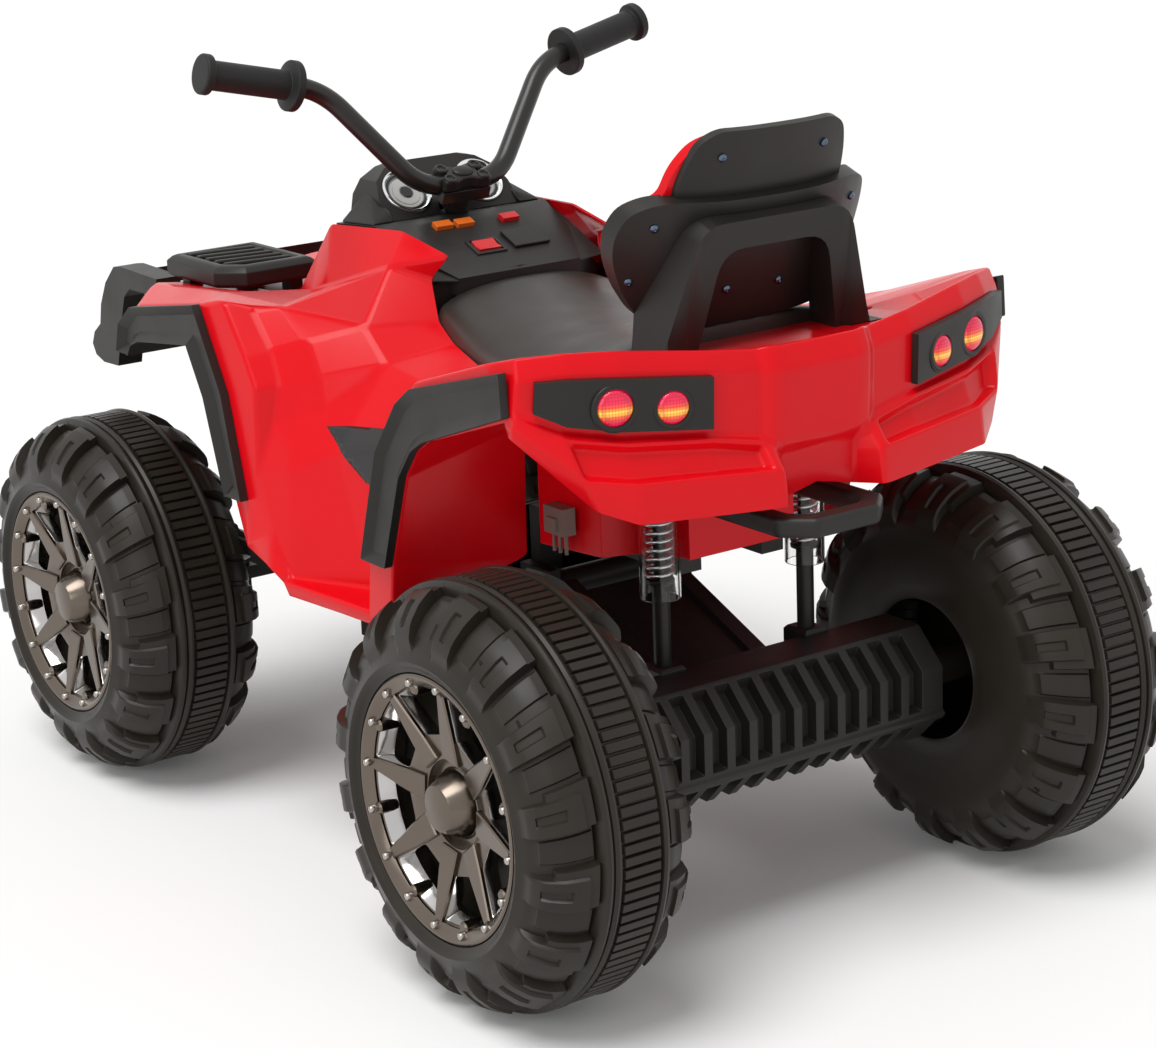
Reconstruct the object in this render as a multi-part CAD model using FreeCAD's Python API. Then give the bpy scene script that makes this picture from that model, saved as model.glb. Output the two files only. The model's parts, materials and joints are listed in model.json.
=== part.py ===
import FreeCAD, Part
import math
import os

# Battery ride-on quad for a young child: two rear gear motors, steered front wheels, saddle seat.
# Millimetres. +X is forward, +Y is left, +Z is up. The origin is on the ground, under the middle.

Vec = FreeCAD.Vector

# Wheels
WHEELBASE = 660.0
WHEEL_RADIUS = 165.0
TYRE_WIDTH = 140.0
TYRE_WALL = 4.0
REAR_TRACK = 480.0
FRONT_TRACK = 444.0
BAND_WIDTH = 56.0
BAND_LIP = 4.0
LUG_COUNT = 16
LUG_HEIGHT = 9.0
LUG_SHARE = 0.56
SIDEWALL = 62.0
RIM_DEPTH = 44.0
RIM_WALL = 3.0
RIM_RING = 12.0
SPOKE_COUNT = 8
SPOKE_THICKNESS = 20.0
HUB_RADIUS = 16.0
HUB_CAP_RADIUS = 24.0
AXLE_RADIUS = 6.0

# Clearances
RUN_CLEAR = 0.05
SEAT_GAP = 0.3
HOOD_GAP = 4.0

# Moulded skins
SKIN = 3.0
TRIM_THICKNESS = 8.0
FRONT_FENDER_HALF = 230.0
REAR_FENDER_HALF = 236.0
LEDGE_Z = 246.0
DECK_Z = 470.0
ARCH_CLEAR = 34.0

# Steering
STEER_RAKE = 25.0
BAR_X = 65.0
BAR_Z = 545.0
BAR_RADIUS = 8.0
COLUMN_RADIUS = 8.0
STEER_ARM = 50.0
TIE_RISE = 35.0
TIE_THICKNESS = 8.0
KINGPIN_OFFSET = 102.0
KINGPIN_RADIUS = 5.0
KNUCKLE_RADIUS = 12.0
GRIP_RADIUS = 12.5
GRIP_LENGTH = 84.0

# Chassis
KEEL_BOTTOM = 150.0
KEEL_TOP = 236.0
KEEL_HALF = 105.0
KEEL_REAR = -110.0
KEEL_FRONT = 100.0
KEEL_WALL = 4.0
RAIL_INNER = 48.0
RAIL_OUTER = 62.0
RAIL_HEIGHT = 28.0
TUB_BOTTOM = 300.0
TUB_TOP = 436.0

# Rear axle and suspension
PIVOT_X = -135.0
PIVOT_Z = 240.0
PIVOT_RADIUS = 5.0
COLLAR_LENGTH = 24.0
HOUSING_APOTHEM = 43.0
HOUSING_WALL = 3.0
RIB_HEIGHT = 5.0
RIB_WIDTH = 12.0
RIB_PITCH = 22.0
SPRING_AHEAD = 28.0
SPRING_Y = 72.0
SPRING_RADIUS = 10.4
SPRING_WIRE = 1.4
SPRING_TURNS = 16
SPRING_SEAT_Z = 288.0
SPRING_TOP_Z = 400.0
TUBE_OUTER = 16.0
TUBE_WALL = 2.0
TUBE_BOTTOM = 272.0
ROD_RADIUS = 7.0

# Dashboard
DASH_SLOPE = 22.8
DASH_Z = 491.0
DASH_WALL = 4.0
BUTTON_CLEAR = 0.4

# Backrest
BACK_X = -312.0
BACK_Z = 500.0
BACK_LEAN = 20.5
BACK_SHELL = 14.0
BACK_FRONT = 9.0
BACK_FRAME_DEPTH = 32.0
BACK_CURVE = 250.0

AXLE_X = WHEELBASE / 2.0
AXLE_Z = WHEEL_RADIUS
HALF_TYRE = TYRE_WIDTH / 2.0
BAND_HALF = BAND_WIDTH / 2.0
RIM_RADIUS = WHEEL_RADIUS - SIDEWALL
WEB_Y = HALF_TYRE - RIM_DEPTH
TIE_Z = AXLE_Z + TIE_RISE
KINGPIN_Y = FRONT_TRACK / 2.0 - KINGPIN_OFFSET
RAIL_BOTTOM = TIE_Z + 12.0
RAIL_TOP = RAIL_BOTTOM + RAIL_HEIGHT
RAIL_FRONT = AXLE_X + 15.0
SPRING_X = SPRING_AHEAD - AXLE_X
HOUSING_HALF = REAR_TRACK / 2.0 - HALF_TYRE + 4.0 - COLLAR_LENGTH
SPLIT_X = WHEEL_RADIUS + ARCH_CLEAR - AXLE_X

nodes = {}


# Basic solids

def box(x0, x1, y0, y1, z0, z1):
    return Part.makeBox(x1 - x0, y1 - y0, z1 - z0, Vec(x0, y0, z0))


def pair_box(x0, x1, y0, y1, z0, z1):
    left = box(x0, x1, y0, y1, z0, z1)
    return [left, mirrored(left)]


def cylinder_y(radius, y0, y1, x, z):
    return Part.makeCylinder(radius, y1 - y0, Vec(x, y0, z), Vec(0, 1, 0))


def cylinder_z(radius, z0, z1, x, y):
    return Part.makeCylinder(radius, z1 - z0, Vec(x, y, z0), Vec(0, 0, 1))


def prism(corners, direction):
    wire = Part.makePolygon(corners + [corners[0]])
    return Part.Face(wire).extrude(direction)


def prism_xz(corners, y0, y1):
    return prism([Vec(x, y0, z) for x, z in corners], Vec(0, y1 - y0, 0))


def prism_yz(corners, x0, x1):
    return prism([Vec(x0, y, z) for y, z in corners], Vec(x1 - x0, 0, 0))


def prism_xy(corners, z0, z1):
    return prism([Vec(x, y, z0) for x, y in corners], Vec(0, 0, z1 - z0))


def mirrored(shape):
    return shape.mirror(Vec(0, 0, 0), Vec(0, 1, 0))


def moved(shape, x=0.0, y=0.0, z=0.0):
    copy = shape.copy()
    copy.translate(Vec(x, y, z))
    return copy


def joined(pieces):
    return pieces[0].multiFuse(pieces[1:]).removeSplitter()


def placed(shape, origin, lean):
    """Put a solid drawn upright round its own origin into a frame leaning back by lean degrees."""
    copy = shape.copy()
    copy.Placement = FreeCAD.Placement(origin, FreeCAD.Rotation(Vec(0, 1, 0), -lean))
    return copy


def add(name, *solids):
    nodes[name] = solids[0] if len(solids) == 1 else Part.makeCompound(list(solids))


# Skins: a moulded panel is a set of flat facets between named corner points, with one wall thickness

def mirror_points(points):
    return {name + "_r": (x, -y, z) for name, (x, y, z) in points.items()}


def mirror_faces(faces):
    return [(face[0] + "_r",) + tuple(name + "_r" for name in reversed(face[1:])) for face in faces]


def triangles_of(faces):
    triangles = []
    for face in faces:
        for index in range(1, len(face) - 1):
            triangles.append((face[0], face[index], face[index + 1]))
    return triangles


def oriented(points, triangles, inside):
    """Turn every triangle the same way round, with its normal away from the inside point."""
    by_edge = {}
    for index, tri in enumerate(triangles):
        for a, b in ((tri[0], tri[1]), (tri[1], tri[2]), (tri[2], tri[0])):
            by_edge.setdefault(frozenset((a, b)), []).append(index)
    fixed = {0: triangles[0]}
    waiting = [0]
    while waiting:
        current = waiting.pop()
        tri = fixed[current]
        for a, b in ((tri[0], tri[1]), (tri[1], tri[2]), (tri[2], tri[0])):
            for other in by_edge[frozenset((a, b))]:
                if other in fixed:
                    continue
                o = triangles[other]
                same_way = (a, b) in ((o[0], o[1]), (o[1], o[2]), (o[2], o[0]))
                fixed[other] = tuple(reversed(o)) if same_way else o
                waiting.append(other)
    result = [fixed[index] for index in range(len(triangles))]
    outward = 0.0
    for tri in result:
        a, b, c = (Vec(*points[name]) for name in tri)
        outward += (b - a).cross(c - a).dot((a + b + c) * (1.0 / 3.0) - Vec(*inside))
    if outward < 0:
        result = [tuple(reversed(tri)) for tri in result]
    return result


def offset_directions(points, triangles):
    """For each corner, the shift that moves all the facets round it out by one millimetre."""
    normals = {name: [] for name in points}
    for tri in triangles:
        a, b, c = (Vec(*points[name]) for name in tri)
        normal = (b - a).cross(c - a)
        normal.normalize()
        for name in tri:
            normals[name].append(normal)
    ridge = 0.02
    shifts = {}
    for name, around in normals.items():
        if not around:
            continue
        rows = [[ridge if i == j else 0.0 for j in range(3)] for i in range(3)]
        right = [0.0, 0.0, 0.0]
        mean = Vec(0, 0, 0)
        for normal in around:
            mean = mean + normal
        mean.normalize()
        for normal in around:
            n = (normal.x, normal.y, normal.z)
            for i in range(3):
                right[i] += n[i]
                for j in range(3):
                    rows[i][j] += n[i] * n[j]
        for i in range(3):
            right[i] += ridge * (mean.x, mean.y, mean.z)[i]
        matrix = FreeCAD.Matrix(rows[0][0], rows[0][1], rows[0][2], 0,
                                rows[1][0], rows[1][1], rows[1][2], 0,
                                rows[2][0], rows[2][1], rows[2][2], 0,
                                0, 0, 0, 1)
        shifts[name] = matrix.inverse().multVec(Vec(*right))
    return shifts


def skin(points, faces, wall, inside):
    """A closed solid: the facets, the same facets wall further in, and the rim between them."""
    triangles = oriented(points, triangles_of(faces), inside)
    shifts = offset_directions(points, triangles)
    names = list(shifts)
    number = {name: index for index, name in enumerate(names)}
    outer = [Vec(*points[name]) for name in names]
    inner = [Vec(*points[name]) - shifts[name] * wall for name in names]
    count = len(names)
    facets = []
    edges = {}
    for tri in triangles:
        a, b, c = (number[name] for name in tri)
        facets.append((a, b, c))
        facets.append((a + count, c + count, b + count))
        for edge in ((a, b), (b, c), (c, a)):
            edges[edge] = True
    for a, b in edges:
        if (b, a) not in edges:
            facets.append((b, a, a + count))
            facets.append((b, a + count, b + count))
    shape = Part.Shape()
    shape.makeShapeFromMesh((outer + inner, facets), 0.001)
    return Part.makeSolid(shape).removeSplitter()


def height_at(points, faces, x, y):
    """The height of the top facet of a skin over a place in plan."""
    found = None
    for tri in triangles_of(faces):
        a, b, c = (points[name] for name in tri)
        area = (b[0] - a[0]) * (c[1] - a[1]) - (c[0] - a[0]) * (b[1] - a[1])
        if abs(area) < 1e-9:
            continue
        u = ((x - a[0]) * (c[1] - a[1]) - (c[0] - a[0]) * (y - a[1])) / area
        v = ((b[0] - a[0]) * (y - a[1]) - (x - a[0]) * (b[1] - a[1])) / area
        if u >= -1e-6 and v >= -1e-6 and u + v <= 1.000001:
            z = a[2] + u * (b[2] - a[2]) + v * (c[2] - a[2])
            found = z if found is None else max(found, z)
    return found


# Wheels, drawn round the Y axis at the origin with their outer face towards +Y

def revolved(profile, angle=360.0):
    """Turn a profile of (place along the axle, radius) pairs about the axle."""
    corners = [Vec(radius, along, 0) for along, radius in profile]
    wire = Part.makePolygon(corners + [corners[0]])
    return Part.Face(wire).revolve(Vec(0, 0, 0), Vec(0, 1, 0), angle)


def tyre_shape():
    shoulder = BAND_HALF + 0.5 * (HALF_TYRE - BAND_HALF)
    low = WHEEL_RADIUS - LUG_HEIGHT - 2.0
    side = HALF_TYRE - 4.0
    bore = AXLE_RADIUS + RUN_CLEAR
    crown = [
        (HALF_TYRE, WHEEL_RADIUS - 50.0),
        (side, WHEEL_RADIUS - 38.0),
        (shoulder, low - 9.0),
        (BAND_HALF, low),
        (BAND_HALF, WHEEL_RADIUS),
        (BAND_HALF - BAND_LIP, WHEEL_RADIUS),
        (BAND_HALF - BAND_LIP, WHEEL_RADIUS - BAND_LIP),
    ]
    lining = [
        (BAND_HALF, low - TYRE_WALL),
        (shoulder - 2.0, low - 9.0 - TYRE_WALL),
        (side - TYRE_WALL, WHEEL_RADIUS - 40.0 - TYRE_WALL),
        (HALF_TYRE - TYRE_WALL, WHEEL_RADIUS - 51.0),
    ]
    inner_lip = 58.0
    profile = [(side, RIM_RADIUS), (HALF_TYRE, RIM_RADIUS + 6.0)]
    profile += crown
    profile += [(-along, radius) for along, radius in reversed(crown)]
    profile += [(-HALF_TYRE, inner_lip), (-HALF_TYRE + TYRE_WALL, inner_lip)]
    profile += [(-along, radius) for along, radius in reversed(lining)]
    profile += lining
    profile += [
        (HALF_TYRE - TYRE_WALL, RIM_RADIUS + 9.0),
        (HALF_TYRE - 2.0 * TYRE_WALL, RIM_RADIUS + 4.0),
        (WEB_Y - TYRE_WALL, RIM_RADIUS + 4.0),
        (WEB_Y - TYRE_WALL, HUB_RADIUS),
        (-side, HUB_RADIUS),
        (-side, bore),
        (WEB_Y + 6.0, bore),
        (WEB_Y + 6.0, HUB_RADIUS),
        (WEB_Y, HUB_RADIUS),
        (WEB_Y, RIM_RADIUS),
    ]
    lug = [
        (BAND_HALF + 2.0, low - 2.5),
        (BAND_HALF + 2.0, WHEEL_RADIUS - 2.0),
        (shoulder, low),
        (HALF_TYRE - 1.0, WHEEL_RADIUS - 33.0),
        (HALF_TYRE - 1.0, WHEEL_RADIUS - 43.0),
        (side - 2.0, WHEEL_RADIUS - 41.0),
        (shoulder, low - 11.0),
    ]
    pitch = 360.0 / LUG_COUNT
    outer_lug = revolved(lug, pitch * LUG_SHARE)
    inner_lug = revolved([(-along, radius) for along, radius in lug], pitch * LUG_SHARE)
    lugs = []
    for index in range(LUG_COUNT):
        for blank, start in ((outer_lug, 0.0), (inner_lug, 0.5)):
            copy = blank.copy()
            copy.rotate(Vec(0, 0, 0), Vec(0, 1, 0), (index + start) * pitch)
            lugs.append(copy)
    return revolved(profile).multiFuse(lugs)


def polar(radius, degrees):
    turn = math.radians(degrees)
    return (radius * math.cos(turn), radius * math.sin(turn))


# A pocket between two arms: share of the ring's inner radius, degrees from its middle
POCKET = [(1.0, -19.0), (1.0, 0.0), (1.0, 19.0), (0.6, 12.4), (0.6, -12.4)]
POCKET_START = 28.5


def rim_shape():
    outer = RIM_RADIUS - RUN_CLEAR * 2.0
    ring_in = RIM_RADIUS - RIM_RING
    ring_face = HALF_TYRE - 5.0
    ring_back = ring_face - 9.0
    plate_back = ring_face - 7.0 - SPOKE_THICKNESS
    cap_bore = HUB_RADIUS + 1.0
    barrel = revolved([
        (WEB_Y + SEAT_GAP, outer - RIM_WALL),
        (ring_back, outer - RIM_WALL),
        (ring_back, ring_in),
        (ring_face - 1.5, ring_in),
        (ring_face, ring_in + 1.5),
        (ring_face, outer - 2.0),
        (ring_face - 2.0, outer),
        (WEB_Y + SEAT_GAP, outer),
    ])
    cap = revolved([
        (WEB_Y + SEAT_GAP, cap_bore),
        (ring_face - 8.0, cap_bore),
        (ring_face - 8.0, 0.0),
        (ring_face - 1.0, 0.0),
        (ring_face - 1.0, HUB_CAP_RADIUS - 3.0),
        (ring_face - 4.0, HUB_CAP_RADIUS),
        (WEB_Y + SEAT_GAP, HUB_CAP_RADIUS),
    ])
    plate = cylinder_y(ring_in + 2.0, plate_back, plate_back + SPOKE_THICKNESS, 0, 0)
    step = 360.0 / SPOKE_COUNT
    edge = ring_in - 1.0
    pockets = []
    bolts = []
    for index in range(SPOKE_COUNT):
        middle = POCKET_START + index * step
        corners = [polar(share * edge, middle + turn) for share, turn in POCKET]
        pockets.append(prism_xz(corners, plate_back - 1.0, ring_face))
        for turn in (0.0, 0.5 * step):
            x, z = polar(RIM_RADIUS - 0.6 * RIM_RING, middle + turn)
            bolts.append(cylinder_y(3.0, ring_face - 1.0, ring_face + 2.0, x, z))
    return joined([barrel, cap, plate.cut(Part.makeCompound(pockets))] + bolts)


def make_wheels():
    tyre = tyre_shape()
    rim = rim_shape()
    for end, x, track in (("front", AXLE_X, FRONT_TRACK), ("rear", -AXLE_X, REAR_TRACK)):
        for part, blank in (("tyre", tyre), ("rim", rim)):
            left = moved(blank, x, track / 2.0, AXLE_Z)
            add(part + "_" + end + "_left", left)
            add(part + "_" + end + "_right", mirrored(left))


# Front panel: fender, tank side, footwell wall and footboard of one side

FY = FRONT_FENDER_HALF
FENDER_TOP_LINE = [(272, 402), (264, 428), (240, 446), (122, 465), (82, 395), (60, 306)]
FENDER_LOW_LINE = [(254, 402), (246, 414), (230, 421), (136, 432), (110, 388), (84, 306)]
LINER_LINE = [(250, 401), (243, 411), (229, 417), (138, 428), (114, 387), (88, 305)]
LINER_WIDTH = 66.0


def front_panel_mesh():
    points = {}
    for index in range(len(FENDER_TOP_LINE)):
        x, z = FENDER_TOP_LINE[index]
        points["top%d" % index] = (x, FY, z)
        x, z = FENDER_LOW_LINE[index]
        points["low%d" % index] = (x, FY, z)
    points.update({
        "heel1": (62, FY, 271), "heel2": (32, FY, 253), "heel3": (6, FY - 1, LEDGE_Z),
        "fold0": (91, FY - 4, 472), "fold1": (58, FY - 4, 428), "fold2": (44, FY - 4, 404),
        "fold3": (48, FY - 4, 330), "fold4": (32, FY - 5, 284), "fold5": (14, FY - 10, LEDGE_Z),
        "nose_low": (300, 170, 400), "nose_in": (318, 112, 392), "nose_top": (318, 112, 440),
        "ridge0": (280, 192, 456), "ridge1": (140, 200, 469),
        "trough0": (76, 206, 463), "trough1": (48, 205, 432), "trough2": (34, 207, 406),
        "trough3": (36, 214, 372),
        "blade0": (62, 185, 465), "blade1": (20, 187, 442), "blade2": (2, 188, 414),
        "blade3": (-6, 190, 390), "blade4": (14, 213, 354),
        "crease0": (12, 216, 336), "crease1": (-30, 195, 358), "crease2": (SPLIT_X, 168, 378),
        "ledge1": (-60, 222, LEDGE_Z), "ledge2": (SPLIT_X, 216, LEDGE_Z),
        "well1": (-60, 186, LEDGE_Z), "well2": (SPLIT_X, 167, LEDGE_Z),
        "skirt0": (6, FY - 3, LEDGE_Z - 12), "skirt1": (-60, 220, LEDGE_Z - 12),
        "skirt2": (SPLIT_X, 214, LEDGE_Z - 12),
        "tank0": (162, 110, 447), "tank1": (110, 112, 464), "tank2": (14, 108, 494),
        "crest0": (118, 100, 516), "crest1": (22, 88, 520), "crest2": (-44, 85, 507),
        "saddle0": (-18, 87, 485), "saddle1": (-33, 91, 451), "saddle2": (-70, 101, 440),
        "saddle3": (SPLIT_X - 4, 121, 436),
        "flank1": (-8, 148, 452), "flank2": (-42, 150, 426), "flank3": (SPLIT_X - 2, 147, 412),
    })
    faces = []
    for index in range(5):
        after = index + 1
        faces.append(("low%d" % index, "top%d" % index, "top%d" % after, "low%d" % after))
    faces += [
        ("low5", "top5", "heel1"),
        ("top0", "nose_low", "ridge0", "top1"),
        ("top1", "ridge0", "top2"),
        ("nose_low", "nose_in", "nose_top", "ridge0"),
        ("top2", "ridge0", "ridge1", "top3"),
        ("top3", "ridge1", "fold0"),
        ("top3", "fold0", "fold1"),
        ("top3", "fold1", "fold2", "top4"),
        ("top4", "fold2", "fold3", "top5"),
        ("top5", "fold3", "fold4", "heel1"),
        ("heel1", "fold4", "heel2"),
        ("heel2", "fold4", "fold5", "heel3"),
        ("heel3", "fold5", "well1", "ledge1"),
        ("ledge1", "well1", "well2", "ledge2"),
        ("heel3", "ledge1", "skirt1", "skirt0"),
        ("ledge1", "ledge2", "skirt2", "skirt1"),
        ("fold0", "trough0", "trough1", "fold1"),
        ("fold1", "trough1", "trough2", "fold2"),
        ("fold2", "trough2", "trough3", "fold3"),
        ("trough0", "blade0", "blade1", "trough1"),
        ("trough1", "blade1", "blade2", "trough2"),
        ("trough2", "blade2", "blade3", "trough3"),
        ("trough3", "blade3", "blade4"),
        ("trough3", "blade4", "fold3"),
        ("ridge1", "blade0", "trough0", "fold0"),
        ("ridge0", "nose_top", "tank0", "ridge1"),
        ("ridge1", "tank0", "tank1", "blade0"),
        ("blade0", "tank1", "tank2", "flank1"),
        ("blade0", "flank1", "blade1"),
        ("blade1", "flank1", "flank2", "blade2"),
        ("blade2", "flank2", "blade3"),
        ("fold3", "blade4", "crease0"),
        ("fold3", "crease0", "fold5", "fold4"),
        ("blade4", "blade3", "crease1", "crease0"),
        ("blade3", "flank2", "crease1"),
        ("crease0", "crease1", "well1", "fold5"),
        ("crease1", "crease2", "well2", "well1"),
        ("crease1", "flank2", "flank3", "crease2"),
        ("tank0", "crest0", "tank1"),
        ("tank1", "crest0", "crest1", "tank2"),
        ("tank2", "crest1", "crest2"),
        ("tank2", "crest2", "saddle0"),
        ("tank2", "saddle0", "saddle1", "flank1"),
        ("flank1", "saddle1", "saddle2", "flank2"),
        ("flank2", "saddle2", "saddle3", "flank3"),
    ]
    return points, faces


PEDAL_X = SPLIT_X + 27.0
PEDAL_TIP = -54.0
PEDAL_Z = LEDGE_Z + 7.0
PEDAL_Y = 204.0
PEDAL_WIDTH = 20.0
PEDAL_PIN = 2.0


def make_front_panels():
    points, faces = front_panel_mesh()
    left = skin(points, faces, SKIN, (60, 0, 200))
    add("front_panel_left", left)
    ears = []
    for side in (-1, 1):
        near = PEDAL_Y + side * (PEDAL_WIDTH / 2.0 + SEAT_GAP)
        far = near + side * 4.0
        ear = box(PEDAL_X - 5, PEDAL_X + 5, min(near, far), max(near, far), LEDGE_Z - 1, PEDAL_Z + 5)
        ears.append(ear.cut(cylinder_y(PEDAL_PIN + RUN_CLEAR, 150, 250, PEDAL_X, PEDAL_Z)))
    add("front_panel_right", mirrored(left.multiFuse(ears).removeSplitter()))


def make_front_trims():
    face = FY + SEAT_GAP
    band = prism_xz(FENDER_TOP_LINE + FENDER_LOW_LINE[::-1], face, face + TRIM_THICKNESS)
    liner = prism_xz(FENDER_LOW_LINE + LINER_LINE[::-1], FY - LINER_WIDTH, face + TRIM_THICKNESS)
    left = joined([band, liner])
    add("front_trim_left", left)
    add("front_trim_right", mirrored(left))


def make_pedal():
    half = PEDAL_WIDTH / 2.0
    plate = prism_xz([(PEDAL_X - 4, PEDAL_Z - 3), (PEDAL_TIP, PEDAL_Z + 7), (PEDAL_TIP - 1, PEDAL_Z + 12),
                      (PEDAL_X - 5, PEDAL_Z + 3)], PEDAL_Y - half, PEDAL_Y + half)
    pin = cylinder_y(PEDAL_PIN, PEDAL_Y - half - 4.0, PEDAL_Y + half + 4.0, PEDAL_X, PEDAL_Z)
    add("accelerator_pedal", mirrored(joined([plate, pin])))


# Hood between the front panels, with the nose

def hood_mesh():
    left = {
        "h1": (120, 99 - HOOD_GAP, 512), "h2": (163, 110 - HOOD_GAP, 446.5),
        "h3": (318, 112 - HOOD_GAP, 440), "h4": (392, 88, 412), "h5": (398, 88, 362),
        "h6": (318, 112 - HOOD_GAP, 392),
    }
    points = dict(left)
    points.update(mirror_points(left))
    points.update({"c1": (122, 0, 512), "c2": (165, 0, 470), "c3": (318, 0, 452),
                   "c4": (400, 0, 424), "c5": (404, 0, 362)})
    half = [("h1", "h2", "c2", "c1"), ("h2", "h3", "c3", "c2"), ("h3", "h4", "c4", "c3"),
            ("h4", "h5", "c5", "c4"), ("h3", "h6", "h5", "h4")]
    faces = list(half)
    for face in half:
        other = [name if name[0] == "c" else name + "_r" for name in face]
        faces.append((other[0],) + tuple(reversed(other[1:])))
    return points, faces


def make_hood():
    points, faces = hood_mesh()
    add("hood", skin(points, faces, SKIN, (250, 0, 300)))


# Front racks, bumper and headlights

RACK_BOTTOM = 461.0
RACK_TOP = 478.0
RACK_REAR = 188.0
RACK_FRONT = 300.0
RACK_INNER = 74.0
RACK_OUTER = 168.0
RACK_SLATS = 4


def make_racks():
    points, faces = front_panel_mesh()
    side = [(RACK_REAR, RACK_BOTTOM), (RACK_FRONT, RACK_BOTTOM - 7), (RACK_FRONT - 2, RACK_TOP - 7),
            (RACK_FRONT - 12, RACK_TOP - 4), (RACK_REAR + 8, RACK_TOP - 4), (RACK_REAR, RACK_TOP - 8)]
    tray = prism_xz(side, RACK_INNER, RACK_OUTER)
    corner = prism_xy([(RACK_REAR - 1, RACK_OUTER + 1), (RACK_REAR - 1, RACK_OUTER - 22),
                       (RACK_REAR + 24, RACK_OUTER + 1)], RACK_BOTTOM - 20, RACK_TOP)
    tray = tray.cut(corner)
    pieces = [tray]
    run = (RACK_OUTER - RACK_INNER - 20.0) / RACK_SLATS
    for index in range(RACK_SLATS):
        y = RACK_INNER + 10.0 + index * run
        pieces.append(box(RACK_REAR + 20, RACK_FRONT - 14, y + 3, y + run - 3, RACK_TOP - 5, RACK_TOP))
    foot = 12.0
    for x in (RACK_REAR + 26, RACK_FRONT - 30):
        y = RACK_OUTER - 24
        corners = [height_at(points, faces, x + i, y + j) for i in (0, foot) for j in (0, foot)]
        pieces.append(box(x, x + foot, y, y + foot, max(corners) + SEAT_GAP, RACK_BOTTOM + 2))
    left = joined(pieces)
    add("front_racks", left, mirrored(left))


BUMPER_END = 165.0
BUMPER_PLATE = 25.0
BUMPER_SIDE = [(328, 448), (400, 450), (414, 448), (434, 430), (447, 408), (452, 388), (466, 378), (472, 366),
               (466, 356), (450, 351), (420, 352), (414, 372), (404, 402), (396, 422), (384, 431), (328, 431)]


def make_bumper():
    inner = BUMPER_END - BUMPER_PLATE
    end = prism_xz(BUMPER_SIDE, inner, BUMPER_END)
    upper = prism_xz([(414, 441), (430, 432), (440, 412), (420, 416)], -inner, inner)
    lower = prism_xz([(436, 374), (458, 372), (462, 358), (436, 356)], -inner, inner)
    arm = prism_xz([(401.2, 382), (446, 373), (446, 358), (401.2, 366)], 36, 50)
    add("front_bumper", joined([end, mirrored(end), upper, lower, arm, mirrored(arm)]))


def make_headlights():
    gap = SEAT_GAP + 0.4
    side = prism_xy([(322, 111 + gap), (390, 88.6 + gap), (396, 118), (374, 156), (326, 164)], 398, 430)
    add("headlights", side, mirrored(side))


# Rear body: fenders, legs in front of the rear wheels, deck behind the seat and tail fascia

RY = REAR_FENDER_HALF
LEG_FRONT = [(SPLIT_X - 10, 302), (SPLIT_X - 41, 395), (SPLIT_X - 74, 438), (SPLIT_X - 91, 457)]
ARCH_LINE = [(SPLIT_X - 46, 302), (SPLIT_X - 74, 380), (SPLIT_X - 93, 404), (SPLIT_X - 109, 414),
             (-342, 447)]
COLUMN_ROWS = ("deck", "step", "rim", "edge", "sill", "brow", "lip", "hem")


def fascia_columns():
    """Corner points of the tail from the fender corner to the middle, each from deck to lower hem."""
    return [
        ("a", [(-300, 138, 468), (-316, 176, 476), (-347, RY - 7, 494), (-353, RY - 4, 478),
               (-353, RY - 1, 456), (-354, RY, 449), (-352, RY, 443), (-347, RY, 436)]),
        ("b", [(-312, 138, DECK_Z), (-336, 168, 473), (-364, 199, 496), (-372, 201, 480),
               (-369, 203, 438), (-378, 205, 428), (-385, 198, 404), (-388, 192, 382)]),
        ("c", [(-318, 130, DECK_Z), (-354, 148, DECK_Z), (-378, 165, 495), (-387, 165, 478),
               (-384, 165, 430), (-395, 165, 420), (-403, 165, 398), (-406, 167, 371)]),
        ("d", [(-318, 97, DECK_Z), (-372, 97, DECK_Z), (-395, 97, 487), (-403, 97, 471),
               (-401, 97, 424), (-408, 97, 414), (-416, 97, 396), (-419, 97, 368)]),
        ("e", [(-318, 44, DECK_Z), (-378, 44, DECK_Z), (-402, 44, 481), (-408, 44, 465),
               (-408, 44, 414), (-413, 44, 406), (-424, 44, 394), (-428, 44, 366)]),
        ("f", [(-318, 34, DECK_Z), (-378, 34, DECK_Z), (-404, 34, 480), (-409, 34, 464),
               (-407, 34, 412), (-406, 34, 404), (-405, 34, 390), (-404, 34, 364)]),
    ]


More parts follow.
